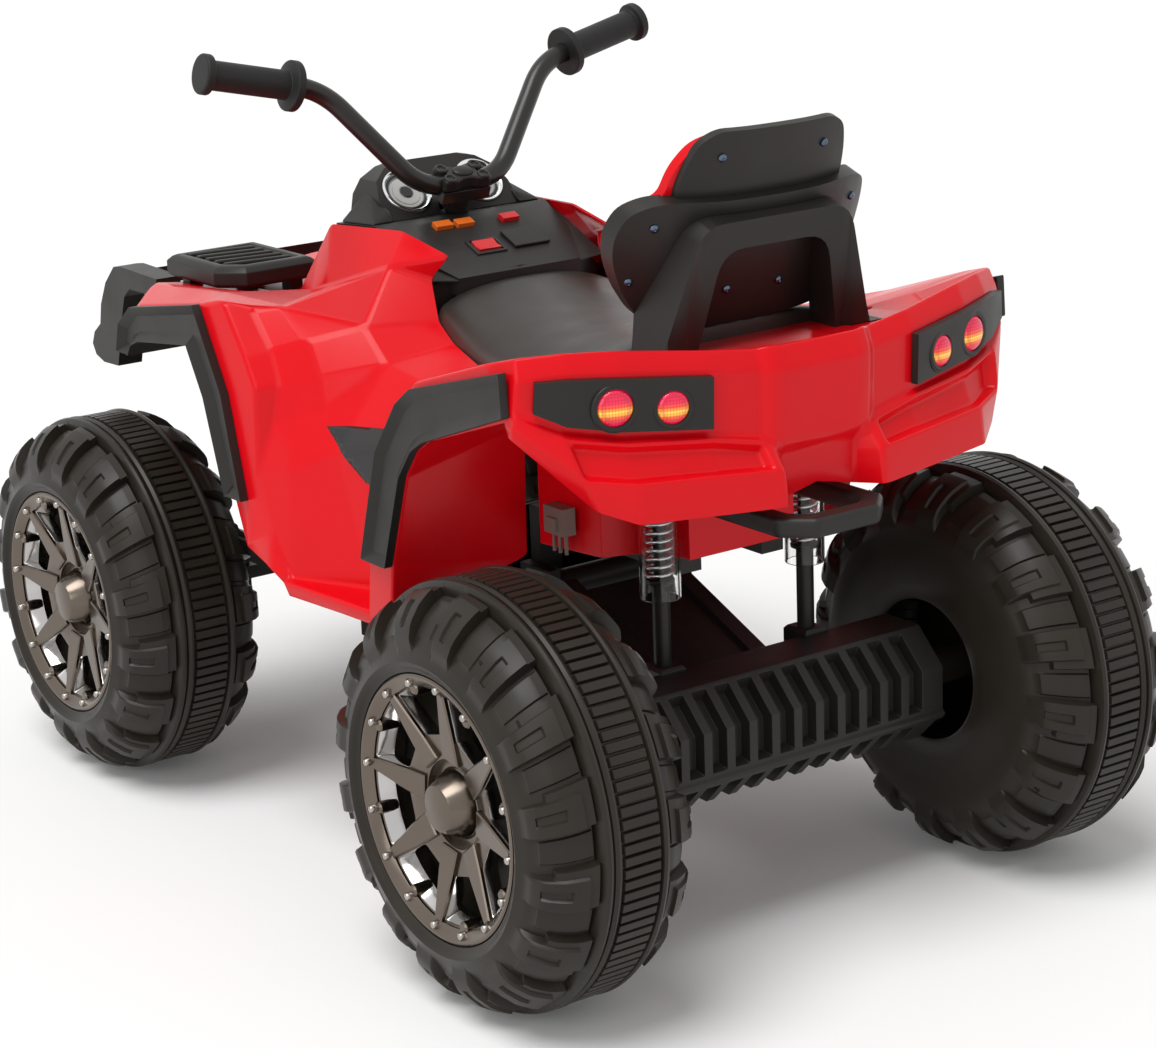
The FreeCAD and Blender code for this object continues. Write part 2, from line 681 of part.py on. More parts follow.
def rear_body_mesh():
    points = {}
    columns = fascia_columns()
    for letter, places in columns:
        for row, place in zip(COLUMN_ROWS, places):
            points[row + "_" + letter] = place
    for index, (x, z) in enumerate(LEG_FRONT):
        points["leg%d" % index] = (x, RY, z)
    for index, (x, z) in enumerate(ARCH_LINE):
        points["arch%d" % index] = (x, RY, z)
    points.update({
        "toe0": (SPLIT_X - 3, 169, 250), "toe1": (SPLIT_X + 3, RY - 4, 250),
        "toe2": (SPLIT_X - 32, RY - 4, 250),
        "wall0": (SPLIT_X - 5, 171, 300), "wall1": (SPLIT_X - 5, 171, 380),
        "wall2": (SPLIT_X - 7, 150, 414), "wall3": (SPLIT_X - 8, 124, 438),
        "top1": (-320, RY, 487), "side1": (-240, 136, 453),
        "well0": (-188, 118, 290), "well1": (-192, 118, 400), "well2": (-200, 118, 430),
    })
    faces = [
        ("toe0", "toe1", "leg0", "wall0"),
        ("wall0", "leg0", "leg1", "wall1"),
        ("wall1", "leg1", "leg2", "wall2"),
        ("wall2", "leg2", "leg3", "wall3"),
        ("toe1", "toe2", "arch0", "leg0"),
        ("leg0", "arch0", "arch1", "leg1"),
        ("leg1", "arch1", "arch2", "leg2"),
        ("leg2", "arch2", "arch3", "leg3"),
        ("leg3", "arch3", "arch4", "top1"),
        ("toe2", "well0", "arch0"),
        ("arch0", "well0", "well1", "arch1"),
        ("arch1", "well1", "well2", "arch2"),
        ("wall3", "leg3", "side1"),
        ("side1", "leg3", "top1"),
        ("side1", "top1", "step_a", "deck_a"),
        ("top1", "rim_a", "step_a"),
        ("top1", "edge_a", "rim_a"),
        ("top1", "sill_a", "edge_a"),
        ("top1", "brow_a", "sill_a"),
        ("top1", "arch4", "brow_a"),
        ("arch4", "lip_a", "brow_a"),
        ("arch4", "hem_a", "lip_a"),
    ]
    for first, second in zip(columns, columns[1:]):
        for upper, lower in zip(COLUMN_ROWS, COLUMN_ROWS[1:]):
            faces.append(tuple(row + "_" + letter for row, letter in (
                (upper, first[0]), (lower, first[0]), (lower, second[0]), (upper, second[0]))))
    return points, faces


def rear_body_whole():
    left_points, left_faces = rear_body_mesh()
    points = dict(left_points)
    points.update(mirror_points(left_points))
    faces = list(left_faces) + mirror_faces(left_faces)
    arch_rise = {"hem": 8.0}
    for row in COLUMN_ROWS:
        x, y, z = left_points[row + "_f"]
        points[row + "_m"] = (x, 0.0, z + arch_rise.get(row, 0.0))
    for upper, lower in zip(COLUMN_ROWS, COLUMN_ROWS[1:]):
        faces.append((upper + "_f", lower + "_f", lower + "_m", upper + "_m"))
        faces.append((upper + "_m", lower + "_m", lower + "_f_r", upper + "_f_r"))
    return points, faces


def make_rear_body():
    points, faces = rear_body_whole()
    add("rear_body", skin(points, faces, SKIN, (-280, 0, 400)))


def make_rear_trims():
    face = RY + SEAT_GAP
    crown = [(SPLIT_X - 95, 453), (-348, 485)]
    corners = LEG_FRONT[:3] + crown + [(-350, 452)] + ARCH_LINE[3::-1]
    left = prism_xz(corners, face, face + TRIM_THICKNESS)
    add("rear_trim_left", left)
    add("rear_trim_right", mirrored(left))


# Tail lamps

LENS_PLACES = [(-376.0, 168.5, 455.0, 14.0), (-389.0, 126.0, 450.0, 12.5)]
LENS_TURN = 15.0
BEZEL_WALL = 6.0
LENS_DEPTH = 4.0
LENS_RING = 4.5


def between(a, b, share):
    return tuple(p + share * (q - p) for p, q in zip(a, b))


def lens_axis():
    turn = math.radians(LENS_TURN)
    return Vec(-math.cos(turn), math.sin(turn), 0)


def make_tail_lamps():
    points, faces = rear_body_mesh()
    triangles = oriented(points, triangles_of(faces), (-280, 0, 400))
    shifts = offset_directions(points, triangles)
    lift = BEZEL_WALL + SEAT_GAP + 0.4
    raised = {}
    for name in points:
        shift = shifts[name] * lift
        raised[name] = (points[name][0] + shift.x, points[name][1] + shift.y, points[name][2] + shift.z)
    corners = {}
    for letter in "bcd":
        corners["u" + letter] = between(raised["edge_" + letter], raised["sill_" + letter], 0.08)
        corners["l" + letter] = between(raised["edge_" + letter], raised["sill_" + letter], 0.92)
    upper = between(raised["edge_a"], raised["sill_a"], 0.1)
    lower = between(raised["edge_a"], raised["sill_a"], 0.9)
    corners["ua"] = between(corners["ub"], upper, 0.6)
    corners["la"] = between(corners["lb"], lower, 0.6)
    mesh = [("ua", "la", "lb", "ub"), ("ub", "lb", "lc", "uc"), ("uc", "lc", "ld", "ud")]
    bezel = skin(corners, mesh, BEZEL_WALL, (-280, 0, 450))
    axis = lens_axis()
    rings = []
    pockets = []
    lenses = []
    for x, y, z, radius in LENS_PLACES:
        front = surface_point(corners, mesh, Vec(x, y, z), axis)
        back = front - axis * LENS_DEPTH
        rings.append(Part.makeCylinder(radius + LENS_RING, LENS_DEPTH, back, axis))
        pockets.append(Part.makeCylinder(radius + SEAT_GAP, 3.0 * LENS_DEPTH, back, axis))
        barrel = Part.makeCylinder(radius, LENS_DEPTH, back, axis)
        lenses.append(barrel.fuse(Part.makeCone(radius, radius - 3.0, 2.5, front, axis)))
    left = joined([bezel] + rings).cut(Part.makeCompound(pockets))
    add("tail_lamp_bezel_left", left)
    add("tail_lamp_bezel_right", mirrored(left))
    add("tail_lamp_lenses", *(lenses + [mirrored(lens) for lens in lenses]))


def surface_point(points, faces, place, axis):
    """Where a line along axis through a place leaves the outermost facet."""
    best = None
    for tri in triangles_of(faces):
        a, b, c = (Vec(*points[name]) for name in tri)
        normal = (b - a).cross(c - a)
        slope = normal.dot(axis)
        if abs(slope) < 1e-9:
            continue
        travel = normal.dot(a - place) / slope
        if best is None or travel < best:
            best = travel
    return place + axis * best


# Seat, tub, battery and the pieces on the tub

SEAT_LOW = TUB_TOP + SEAT_GAP
SEAT_STATIONS = [
    (-26.0, 78.0, 70.0, 462.0, 470.0, 477.0),
    (-70.0, 97.0, 88.0, 444.0, 454.0, 468.0),
    (-136.0, 118.0, 108.0, SEAT_LOW, 448.0, 463.0),
    (-220.0, 130.0, 112.0, SEAT_LOW, 457.0, 467.0),
    (-290.0, 133.0, 112.0, SEAT_LOW, 472.0, 483.0),
    (-315.0, 125.0, 118.0, DECK_Z + 3.5, 477.0, 485.0),
]


def seat_section(x, half, drawn, low, edge, crown):
    """Flat under, drawn in towards the bottom, with a crowned top."""
    points = [Vec(x, -drawn, low), Vec(x, -half, edge), Vec(x, half, edge), Vec(x, drawn, low)]
    top = Part.Arc(points[1], Vec(x, 0, crown), points[2]).toShape()
    return Part.Wire([Part.makeLine(points[3], points[0]), Part.makeLine(points[0], points[1]), top,
                      Part.makeLine(points[2], points[3])])


def make_seat():
    sections = [seat_section(*station) for station in SEAT_STATIONS]
    add("seat", Part.makeLoft(sections, True, True))


TUB_FRONT = -196.0
TUB_REAR = SPRING_X - 12.0
BRACKET_X = -314.0
TUB_PLAN = [(TUB_FRONT, 110.0), (SPRING_X + 40, 98.0), (SPRING_X + 22, 52.0), (TUB_REAR, 52.0)]


def make_tub():
    wall = SKIN
    outer = TUB_PLAN + [(x, -y) for x, y in reversed(TUB_PLAN)]
    steps = [(-wall, -wall), (0.2 * wall, -1.3 * wall), (0.2 * wall, -wall), (wall, -wall)]
    inset = [(x + dx, y + dy) for (x, y), (dx, dy) in zip(TUB_PLAN, steps)]
    inner = inset + [(x, -y) for x, y in reversed(inset)]
    body = prism_xy(outer, TUB_BOTTOM, TUB_TOP).cut(prism_xy(inner, TUB_BOTTOM + wall, TUB_TOP + 1))
    wing = box(SPRING_X - TUBE_OUTER - 2, SPRING_X + 21, 50.0, SPRING_Y + TUBE_OUTER + 4,
               SPRING_TOP_Z, SPRING_TOP_Z + 6)
    bracket = box(BRACKET_X - 24, BRACKET_X + wall, -48, 48, TUB_TOP - 40, DECK_Z - SKIN - SEAT_GAP)
    bracket = bracket.cut(box(BRACKET_X - 25, BRACKET_X - 4, -49, 49, TUB_TOP - 41, DECK_Z - SKIN - 9))
    bracket = bracket.cut(box(BRACKET_X - 4, BRACKET_X + 4, -49, 49, DECK_Z - SKIN - 3, DECK_Z))
    arm = box(min(BRACKET_X, TUB_REAR) - 4, max(BRACKET_X, TUB_REAR) + wall, -48, 48,
              TUB_TOP - 40, TUB_TOP - 34)
    add("seat_tub", joined([body, wing, mirrored(wing), bracket, arm]))
    add("battery", box(SPRING_X + 42, TUB_FRONT - wall - 1, -75.0, 75.0, TUB_BOTTOM + wall,
                       TUB_TOP - 41.0))


HANDLE_HALF = 52.0
HANDLE_REAR = -442.0
HANDLE_BAR = 18.0
HANDLE_BOTTOM = 340.0
HANDLE_TOP = 356.0


def make_rear_handle():
    front = TUB_REAR - SEAT_GAP
    corner = 22.0
    outer = [(front, HANDLE_HALF), (HANDLE_REAR + corner, HANDLE_HALF), (HANDLE_REAR, HANDLE_HALF - corner)]
    inner = [(front, HANDLE_HALF - HANDLE_BAR), (HANDLE_REAR + corner + 6, HANDLE_HALF - HANDLE_BAR),
             (HANDLE_REAR + HANDLE_BAR, HANDLE_HALF - HANDLE_BAR - 10)]
    corners = outer + [(x, -y) for x, y in reversed(outer)]
    corners += [(x, -y) for x, y in inner] + list(reversed(inner))
    add("rear_handle", prism_xy(corners, HANDLE_BOTTOM, HANDLE_TOP))


def make_motor_plug():
    x = TUB_FRONT - 30.0
    front = TUB_PLAN[0]
    rear = TUB_PLAN[1]
    y = front[1] + (rear[1] - front[1]) * (front[0] - x - 11) / (front[0] - rear[0]) + SEAT_GAP
    body = box(x - 15, x + 11, y, y + 12, 316, 338)
    latch = box(x - 8, x + 4, y + 11, y + 15, 320, 330)
    leads = [cylinder_z(1.6, 300, 317, x + shift, y + 6) for shift in (-10, -2, 6)]
    add("motor_plug", joined([body, latch] + leads))


# Backrest, drawn upright in its own leaning frame

BACK_OUTLINE = [(80, -6), (92, 2), (108, 22), (118, 48), (118, 74), (108, 90), (84, 96), (77, 100),
                (73, 124), (60, 140), (44, 147)]
FRAME_FOOT_OUT = 124.0
FRAME_FOOT_IN = 66.0
FRAME_TOP_OUT = 68.0
FRAME_TOP_IN = 40.0
FRAME_TOP = 84.0
FRAME_OPEN_TOP = 60.0
SCREW_PLACES = [(48, 130), (94, 76), (104, 30), (25, 22)]


def leaning(shape):
    return placed(shape, Vec(BACK_X, 0, BACK_Z), BACK_LEAN)


def bent(radius, wall):
    """A standing tube wall; the backrest's sheets are cut out of it."""
    low = -100.0
    tall = 400.0
    middle = Vec(BACK_CURVE, 0, low)
    return Part.makeCylinder(radius, tall, middle).cut(Part.makeCylinder(radius - wall, tall, middle))


def back_depth(y):
    """Place of the shell's rear face at a distance from the middle."""
    return BACK_CURVE - math.sqrt((BACK_CURVE + BACK_SHELL) ** 2 - y * y)


def mirror_outline(points):
    return points + [(-y, up) for y, up in reversed(points)]


def backrest_frame():
    front = -BACK_SHELL - SEAT_GAP
    pad = 10.0
    foot = -60.0
    pad_low = 14.0
    share = (pad_low - foot) / (FRAME_TOP - foot)
    pad_half = FRAME_FOOT_OUT + share * (FRAME_TOP_OUT - FRAME_FOOT_OUT)
    outer = mirror_outline([(FRAME_FOOT_OUT, foot), (FRAME_TOP_OUT, FRAME_TOP)])
    inner = mirror_outline([(FRAME_FOOT_IN, foot - 1.0), (FRAME_TOP_IN, FRAME_OPEN_TOP)])
    upper = mirror_outline([(pad_half, pad_low), (FRAME_TOP_OUT, FRAME_TOP)])
    legs = prism_yz(outer, front - BACK_FRAME_DEPTH, front)
    pads = prism_yz(upper, front - 1.0, front + pad)
    opening = prism_yz(inner, front - BACK_FRAME_DEPTH - 1.0, front + pad + 1.0)
    shell_room = Part.makeCylinder(BACK_CURVE + BACK_SHELL + SEAT_GAP, 400.0, Vec(BACK_CURVE, 0, -100.0))
    return joined([legs, pads]).cut(opening).cut(shell_room)


def make_backrest():
    outline = mirror_outline(BACK_OUTLINE)
    whole = prism_yz(outline, -BACK_SHELL - 1.0, 80.0)
    add("backrest_shell", leaning(whole.common(bent(BACK_CURVE + BACK_SHELL, BACK_SHELL))))
    add("backrest_front", leaning(whole.common(bent(BACK_CURVE - SEAT_GAP, BACK_FRONT))))
    below = box(-600, 0, -300, 300, 0, DECK_Z + SEAT_GAP)
    add("backrest_frame", leaning(backrest_frame()).cut(below))
    screws = []
    for y, up in SCREW_PLACES:
        for side in (-1, 1):
            base = Vec(back_depth(y), side * y, up)
            outward = (base - Vec(BACK_CURVE, 0, up)).normalize()
            screws.append(leaning(Part.makeCylinder(4.0, 3.0, base, outward)))
    add("backrest_screws", *screws)


# Steering, drawn upright round the middle of the handlebar and leaning back by the rake

CLAMP_HALF = 24.0
CLAMP_DEPTH = 13.0
CLAMP_SPLIT = 0.5
CLAMP_LOW = -11.5
NECK_RADIUS = 12.5
BAR_BEND = (98.0, 113.0, 634.0)
BAR_END = (104.0, 219.0, 658.0)
BAR_STRAIGHT = 40.0
TIE_BAR = 12.0
TIE_PIN = 4.0
CRANK_PIN = 3.5


def raked(shape):
    return placed(shape, Vec(BAR_X, 0, BAR_Z), STEER_RAKE)


def crank_level():
    """How far down the steering axis the crank is, so that its pin reaches the tie rod."""
    rake = math.radians(STEER_RAKE)
    tip_z = TIE_Z + TIE_THICKNESS / 2.0 + 10.0
    return -(BAR_Z - tip_z - STEER_ARM * math.sin(rake)) / math.cos(rake)


def crank_pin_x():
    rake = math.radians(STEER_RAKE)
    return BAR_X + (BAR_Z - TIE_Z) * math.tan(rake) - STEER_ARM / math.cos(rake)


def make_steering():
    level = crank_level()
    bore = cylinder_y(BAR_RADIUS + RUN_CLEAR, -60, 60, 0, 0)
    base = box(-CLAMP_DEPTH, CLAMP_DEPTH, -CLAMP_HALF, CLAMP_HALF, CLAMP_LOW, -CLAMP_SPLIT)
    neck = cylinder_z(NECK_RADIUS, -24.0, CLAMP_LOW + 1.0, 0, 0)
    base = base.fuse(neck).cut(bore)
    column = cylinder_z(COLUMN_RADIUS, level - 4.0, -23.0, 0, 0)
    crank = box(-STEER_ARM - 7.0, 7.0, -7.0, 7.0, level - 4.0, level + 4.0)
    pin = cylinder_z(CRANK_PIN, level - 28.0, level, -STEER_ARM, 0)
    add("steering_column", raked(joined([base, column, crank, pin])))
    cap = box(-CLAMP_DEPTH, CLAMP_DEPTH, -CLAMP_HALF, CLAMP_HALF, CLAMP_SPLIT, 14.0).cut(bore)
    heads = []
    for f in (-8.5, 8.5):
        for y in (-CLAMP_HALF + 6.0, CLAMP_HALF - 6.0):
            heads.append(cylinder_z(3.2, 13.0, 16.0, f, y))
    boss = cylinder_z(8.0, 13.0, 17.0, 0, 0)
    add("clamp_cap", raked(joined([cap, boss] + heads)))


def rounded_path(corners, radii):
    """Straight runs between the corners, with a tangent arc at each inner corner."""
    edges = []
    start = corners[0]
    for index in range(1, len(corners) - 1):
        before = (corners[index - 1] - corners[index]).normalize()
        after = (corners[index + 1] - corners[index]).normalize()
        half = before.getAngle(after) / 2.0
        reach = radii[index - 1] / math.tan(half)
        first = corners[index] + before * reach
        last = corners[index] + after * reach
        middle = (before + after).normalize()
        centre = corners[index] + middle * (radii[index - 1] / math.sin(half))
        edges.append(Part.LineSegment(start, first).toShape())
        edges.append(Part.Arc(first, centre - middle * radii[index - 1], last).toShape())
        start = last
    edges.append(Part.LineSegment(start, corners[-1]).toShape())
    return Part.Wire(edges)


def swept(path, radius):
    start = path.Edges[0].firstVertex().Point
    tangent = path.Edges[0].tangentAt(path.Edges[0].FirstParameter)
    ring = Part.Wire([Part.makeCircle(radius, start, tangent)])
    return path.makePipeShell([ring], True, False)


def make_handlebar():
    half = [Vec(BAR_X, BAR_STRAIGHT, BAR_Z), Vec(*BAR_BEND), Vec(*BAR_END)]
    corners = [Vec(p.x, -p.y, p.z) for p in reversed(half)] + half
    path = rounded_path(corners, [30.0, 26.0, 26.0, 30.0])
    add("handlebar", swept(path, BAR_RADIUS))
    end = half[2]
    along = (half[2] - half[1]).normalize()
    bore = BAR_RADIUS + RUN_CLEAR
    profile = [(-GRIP_LENGTH, bore), (-GRIP_LENGTH, 21.5), (-GRIP_LENGTH + 7, 21.5),
               (-GRIP_LENGTH + 9, GRIP_RADIUS), (-4, GRIP_RADIUS), (-3, 17.0), (3.5, 17.0),
               (4.5, 15.5), (4.5, 0.0), (0.4, 0.0), (0.4, bore)]
    grip = revolved(profile)
    grip.Placement = FreeCAD.Placement(end, FreeCAD.Rotation(Vec(0, 1, 0), along))
    add("grip_left", grip)
    add("grip_right", mirrored(grip))


def make_tie_rod():
    low = TIE_Z - TIE_THICKNESS / 2.0
    high = TIE_Z + TIE_THICKNESS / 2.0
    eye = Vec(AXLE_X - STEER_ARM, KINGPIN_Y, 0)
    middle = Vec(crank_pin_x(), 0, 0)
    along = (eye - middle).normalize()
    across = Vec(-along.y, along.x, 0) * (TIE_BAR / 2.0)
    bar = prism_xy([(p.x, p.y) for p in (middle + across, middle - across, eye - across, eye + across)],
                   low, high)
    ring = cylinder_z(9.0, low, high, eye.x, eye.y)
    hole = cylinder_z(TIE_PIN + RUN_CLEAR, low - 1, high + 1, eye.x, eye.y)
    left = bar.fuse(ring).cut(hole)
    plate = box(middle.x - 17, middle.x + 17, -16, 16, low, high)
    slot_half = CRANK_PIN + SEAT_GAP
    slot = box(middle.x - 9, middle.x + 9, -slot_half, slot_half, low - 1, high + 1)
    add("tie_rod", joined([left, mirrored(left), plate]).cut(slot).removeSplitter())


def make_knuckles():
    low = AXLE_Z - 20.7
    high = AXLE_Z + 20.7
    tip = FRONT_TRACK / 2.0 + WEB_Y + 8.0
    shoulder = FRONT_TRACK / 2.0 - HALF_TYRE + 4.0 - SEAT_GAP
    barrel = cylinder_z(KNUCKLE_RADIUS, low, high, AXLE_X, KINGPIN_Y)
    pin = cylinder_z(KINGPIN_RADIUS, low - 10.3, high + 10.3, AXLE_X, KINGPIN_Y)
    stub = cylinder_y(AXLE_RADIUS, KINGPIN_Y, tip, AXLE_X, AXLE_Z)
    collar = cylinder_y(KNUCKLE_RADIUS, KINGPIN_Y, shoulder, AXLE_X, AXLE_Z)
    arm = box(AXLE_X - STEER_ARM - 8, AXLE_X - 6, KINGPIN_Y - 8, KINGPIN_Y + 8, AXLE_Z + 5, AXLE_Z + 13)
    link = cylinder_z(TIE_PIN, AXLE_Z + 12, TIE_Z + TIE_THICKNESS / 2.0 + 4,
                      AXLE_X - STEER_ARM, KINGPIN_Y)
    left = joined([barrel, pin, stub, collar, arm, link])
    add("knuckle_left", left)
    add("knuckle_right", mirrored(left))


# Chassis and front axle beam

MAST_X = 286.0
MAST_DEPTH = 26.0
BEAM_HALF_DEPTH = 12.0
BEAM_TOP = AXLE_Z + 15.0


def make_chassis():
    points, faces = hood_mesh()
    keel = box(KEEL_REAR, KEEL_FRONT, -KEEL_HALF, KEEL_HALF, KEEL_BOTTOM, KEEL_TOP)
    keel = keel.cut(box(KEEL_REAR + KEEL_WALL, KEEL_FRONT - KEEL_WALL, -KEEL_HALF + KEEL_WALL,
                        KEEL_HALF - KEEL_WALL, KEEL_BOTTOM + KEEL_WALL, KEEL_TOP + 1))
    pieces = [keel]
    pieces += pair_box(KEEL_FRONT - KEEL_WALL, RAIL_FRONT, RAIL_INNER, RAIL_OUTER, RAIL_BOTTOM, RAIL_TOP)
    pieces.append(box(MAST_X - 1, RAIL_FRONT, -RAIL_OUTER, RAIL_OUTER, RAIL_BOTTOM, RAIL_TOP))
    pieces.append(box(AXLE_X - 15, AXLE_X + 15, -45, 45, BEAM_TOP, RAIL_BOTTOM + 1))
    mast_end = MAST_X + MAST_DEPTH
    mast_top = min(height_at(points, faces, x, 28) for x in (MAST_X, mast_end)) - SKIN * 1.05 - SEAT_GAP
    pieces.append(box(MAST_X, mast_end, -28, 28, RAIL_TOP - 1, mast_top))
    bearing_z = 300.0
    bearing_x = BAR_X + (BAR_Z - bearing_z - 8.0) * math.tan(math.radians(STEER_RAKE))
    pieces += pair_box(bearing_x - 22, bearing_x + 22, RAIL_INNER, RAIL_OUTER, RAIL_TOP - 1, bearing_z + 16)
    pieces.append(box(bearing_x - 22, bearing_x + 22, -RAIL_OUTER, RAIL_OUTER, bearing_z, bearing_z + 16))
    dash_under = DASH_Z + DASH_FLAT_X * math.tan(math.radians(DASH_SLOPE)) - DASH_WALL - 2.0
    pieces += pair_box(KEEL_FRONT - 16, KEEL_FRONT - 2, RAIL_INNER, RAIL_OUTER, KEEL_BOTTOM + 2, dash_under)
    for x in (KEEL_REAR + 10, KEEL_FRONT - 124):
        pieces += pair_box(x, x + 16, KEEL_HALF - 1, 204.0, LEDGE_Z - 20, LEDGE_Z - SKIN - SEAT_GAP - 0.1)
    pieces += pair_box(PIVOT_X - 15, KEEL_REAR + 1, RAIL_INNER + 12, RAIL_OUTER + 10,
                       PIVOT_Z - 18, PIVOT_Z + 18)
    pieces += pair_box(KEEL_REAR, KEEL_REAR + 14, 30, 52, KEEL_BOTTOM + 2, TUB_BOTTOM)
    pieces += pair_box(SPRING_X + 2, KEEL_REAR + 14, 30, 52, TUB_BOTTOM - 15, TUB_BOTTOM)
    frame = joined(pieces)
    axis_bore = raked(cylinder_z(COLUMN_RADIUS + RUN_CLEAR, -400, 0, 0, 0))
    pivot_bore = cylinder_y(PIVOT_RADIUS + RUN_CLEAR, -120, 120, PIVOT_X, PIVOT_Z)
    add("chassis_frame", frame.cut(axis_bore).cut(pivot_bore))
    add("control_box", box(-60, 20, -30, 30, KEEL_BOTTOM + KEEL_WALL, KEEL_BOTTOM + KEEL_WALL + 28))


def make_front_beam():
    x0 = AXLE_X - BEAM_HALF_DEPTH
    x1 = AXLE_X + BEAM_HALF_DEPTH
    inner = KINGPIN_Y - 26.0
    low = AXLE_Z - 21.0
    high = AXLE_Z + 21.0
    pieces = [box(x0, x1, -inner - 6, inner + 6, AXLE_Z - 15, BEAM_TOP)]
    pieces += pair_box(x0, x1, inner, inner + 10, low - 10, high + 10)
    pieces += pair_box(x0, x1, inner + 6, KINGPIN_Y + 14, high, high + 10)
    pieces += pair_box(x0, x1, inner + 6, KINGPIN_Y + 14, low - 10, low)
    beam = joined(pieces)
    for side in (-1, 1):
        beam = beam.cut(cylinder_z(KINGPIN_RADIUS + RUN_CLEAR, 0, 400, AXLE_X, side * KINGPIN_Y))
    add("front_axle_beam", beam)


# Rear axle: housing halves, shaft, gearboxes, motors, swing arm, springs in their tubes

GEARBOX_RADIUS = 38.0
GEARBOX_WIDTH = 44.0
MOTOR_RADIUS = 15.0
MOTOR_LENGTH = 57.0
MOTOR_OFFSET = 22.5


def octagon(apothem, y0, y1):
    radius = apothem / math.cos(math.pi / 8.0)
    corners = []
    for index in range(8):
        x, z = polar(radius, 22.5 + 45.0 * index)
        corners.append((x - AXLE_X, z + AXLE_Z))
    return prism_xz(corners, y0, y1)


def make_housing():
    body = octagon(HOUSING_APOTHEM, -HOUSING_HALF, HOUSING_HALF)
    ribs = []
    count = int((2.0 * HOUSING_HALF - RIB_WIDTH) / RIB_PITCH)
    start = -count * RIB_PITCH / 2.0
    for index in range(count + 1):
        y = start + index * RIB_PITCH
        ribs.append(octagon(HOUSING_APOTHEM + RIB_HEIGHT, y - RIB_WIDTH / 2.0, y + RIB_WIDTH / 2.0))
    hollow = octagon(HOUSING_APOTHEM - HOUSING_WALL, -HOUSING_HALF + 5, HOUSING_HALF - 5)
    bore = cylinder_y(AXLE_RADIUS + RUN_CLEAR, -HOUSING_HALF - 1, HOUSING_HALF + 1, -AXLE_X, AXLE_Z)
    shell = joined([body] + ribs).cut(hollow).cut(bore)
    far = HOUSING_HALF + 10
    above = box(-AXLE_X - 100, -AXLE_X + 100, -far, far, AXLE_Z, AXLE_Z + 100)
    below = box(-AXLE_X - 100, -AXLE_X + 100, -far, far, AXLE_Z - 100, AXLE_Z)
    pad_top = AXLE_Z + HOUSING_APOTHEM + RIB_HEIGHT + 5.0
    pads = pair_box(SPRING_X - 14, SPRING_X + 14, SPRING_Y - 12, SPRING_Y + 12, AXLE_Z + 20, pad_top)
    rods = []
    for side in (-1, 1):
        y = side * SPRING_Y
        rods.append(cylinder_z(ROD_RADIUS, pad_top - 1, SPRING_SEAT_Z, SPRING_X, y))
        rods.append(cylinder_z(SPRING_RADIUS + 1.0, SPRING_SEAT_Z - 4, SPRING_SEAT_Z, SPRING_X, y))
        rods.append(cylinder_z(ROD_RADIUS - 2.0, SPRING_SEAT_Z - 1, SPRING_SEAT_Z + 48, SPRING_X, y))
    pads = [pad.cut(hollow) for pad in pads]
    add("axle_housing_upper", joined([shell.common(above)] + pads + rods))
    add("axle_housing_lower", shell.common(below))


def make_rear_axle():
    tip = REAR_TRACK / 2.0 + WEB_Y + 8.0
    hub = REAR_TRACK / 2.0 - HALF_TYRE + 4.0
    shaft = cylinder_y(AXLE_RADIUS, -tip, tip, -AXLE_X, AXLE_Z)
    collar = cylinder_y(HUB_RADIUS - 2.0, HOUSING_HALF + SEAT_GAP, hub - SEAT_GAP, -AXLE_X, AXLE_Z)
    add("rear_axle_shaft", joined([shaft, collar, mirrored(collar)]))
    outer = HOUSING_HALF - 5.0 - SEAT_GAP
    inner = outer - GEARBOX_WIDTH
    gearbox = cylinder_y(GEARBOX_RADIUS, inner, outer, -AXLE_X, AXLE_Z)
    gearbox = gearbox.cut(cylinder_y(AXLE_RADIUS + SEAT_GAP, inner - 1, outer + 1, -AXLE_X, AXLE_Z))
    add("gearboxes", gearbox, mirrored(gearbox))
    end = inner - SEAT_GAP
    motor = cylinder_y(MOTOR_RADIUS, end - MOTOR_LENGTH, end, -AXLE_X + MOTOR_OFFSET, AXLE_Z)
    add("motors", motor, mirrored(motor))


ARM_HALF = 58.0
ARM_SIDE = 16.0


def make_swing_arm():
    rear = -AXLE_X + HOUSING_APOTHEM + RIB_HEIGHT + SEAT_GAP
    side = prism_xz([(PIVOT_X, PIVOT_Z - 10), (PIVOT_X, PIVOT_Z + 10), (rear, AXLE_Z + 24),
                     (rear, AXLE_Z - 22)], ARM_HALF - ARM_SIDE, ARM_HALF)
    plate = prism_xz([(PIVOT_X - 20, PIVOT_Z - 8), (PIVOT_X - 20, PIVOT_Z - 3),
                      (rear, AXLE_Z + 20), (rear, AXLE_Z + 14)], -ARM_HALF, ARM_HALF)
    heel = box(rear, rear + 6, -ARM_HALF, ARM_HALF, AXLE_Z - 22, AXLE_Z + 20)
    tube = cylinder_y(12.0, -ARM_HALF, ARM_HALF, PIVOT_X, PIVOT_Z)
    bore = cylinder_y(PIVOT_RADIUS + RUN_CLEAR, -ARM_HALF - 1, ARM_HALF + 1, PIVOT_X, PIVOT_Z)
    add("swing_arm", joined([side, mirrored(side), plate, heel, tube]).cut(bore))
    reach = RAIL_OUTER + 14.0
    add("pivot_pin", cylinder_y(PIVOT_RADIUS, -reach, reach, PIVOT_X, PIVOT_Z))


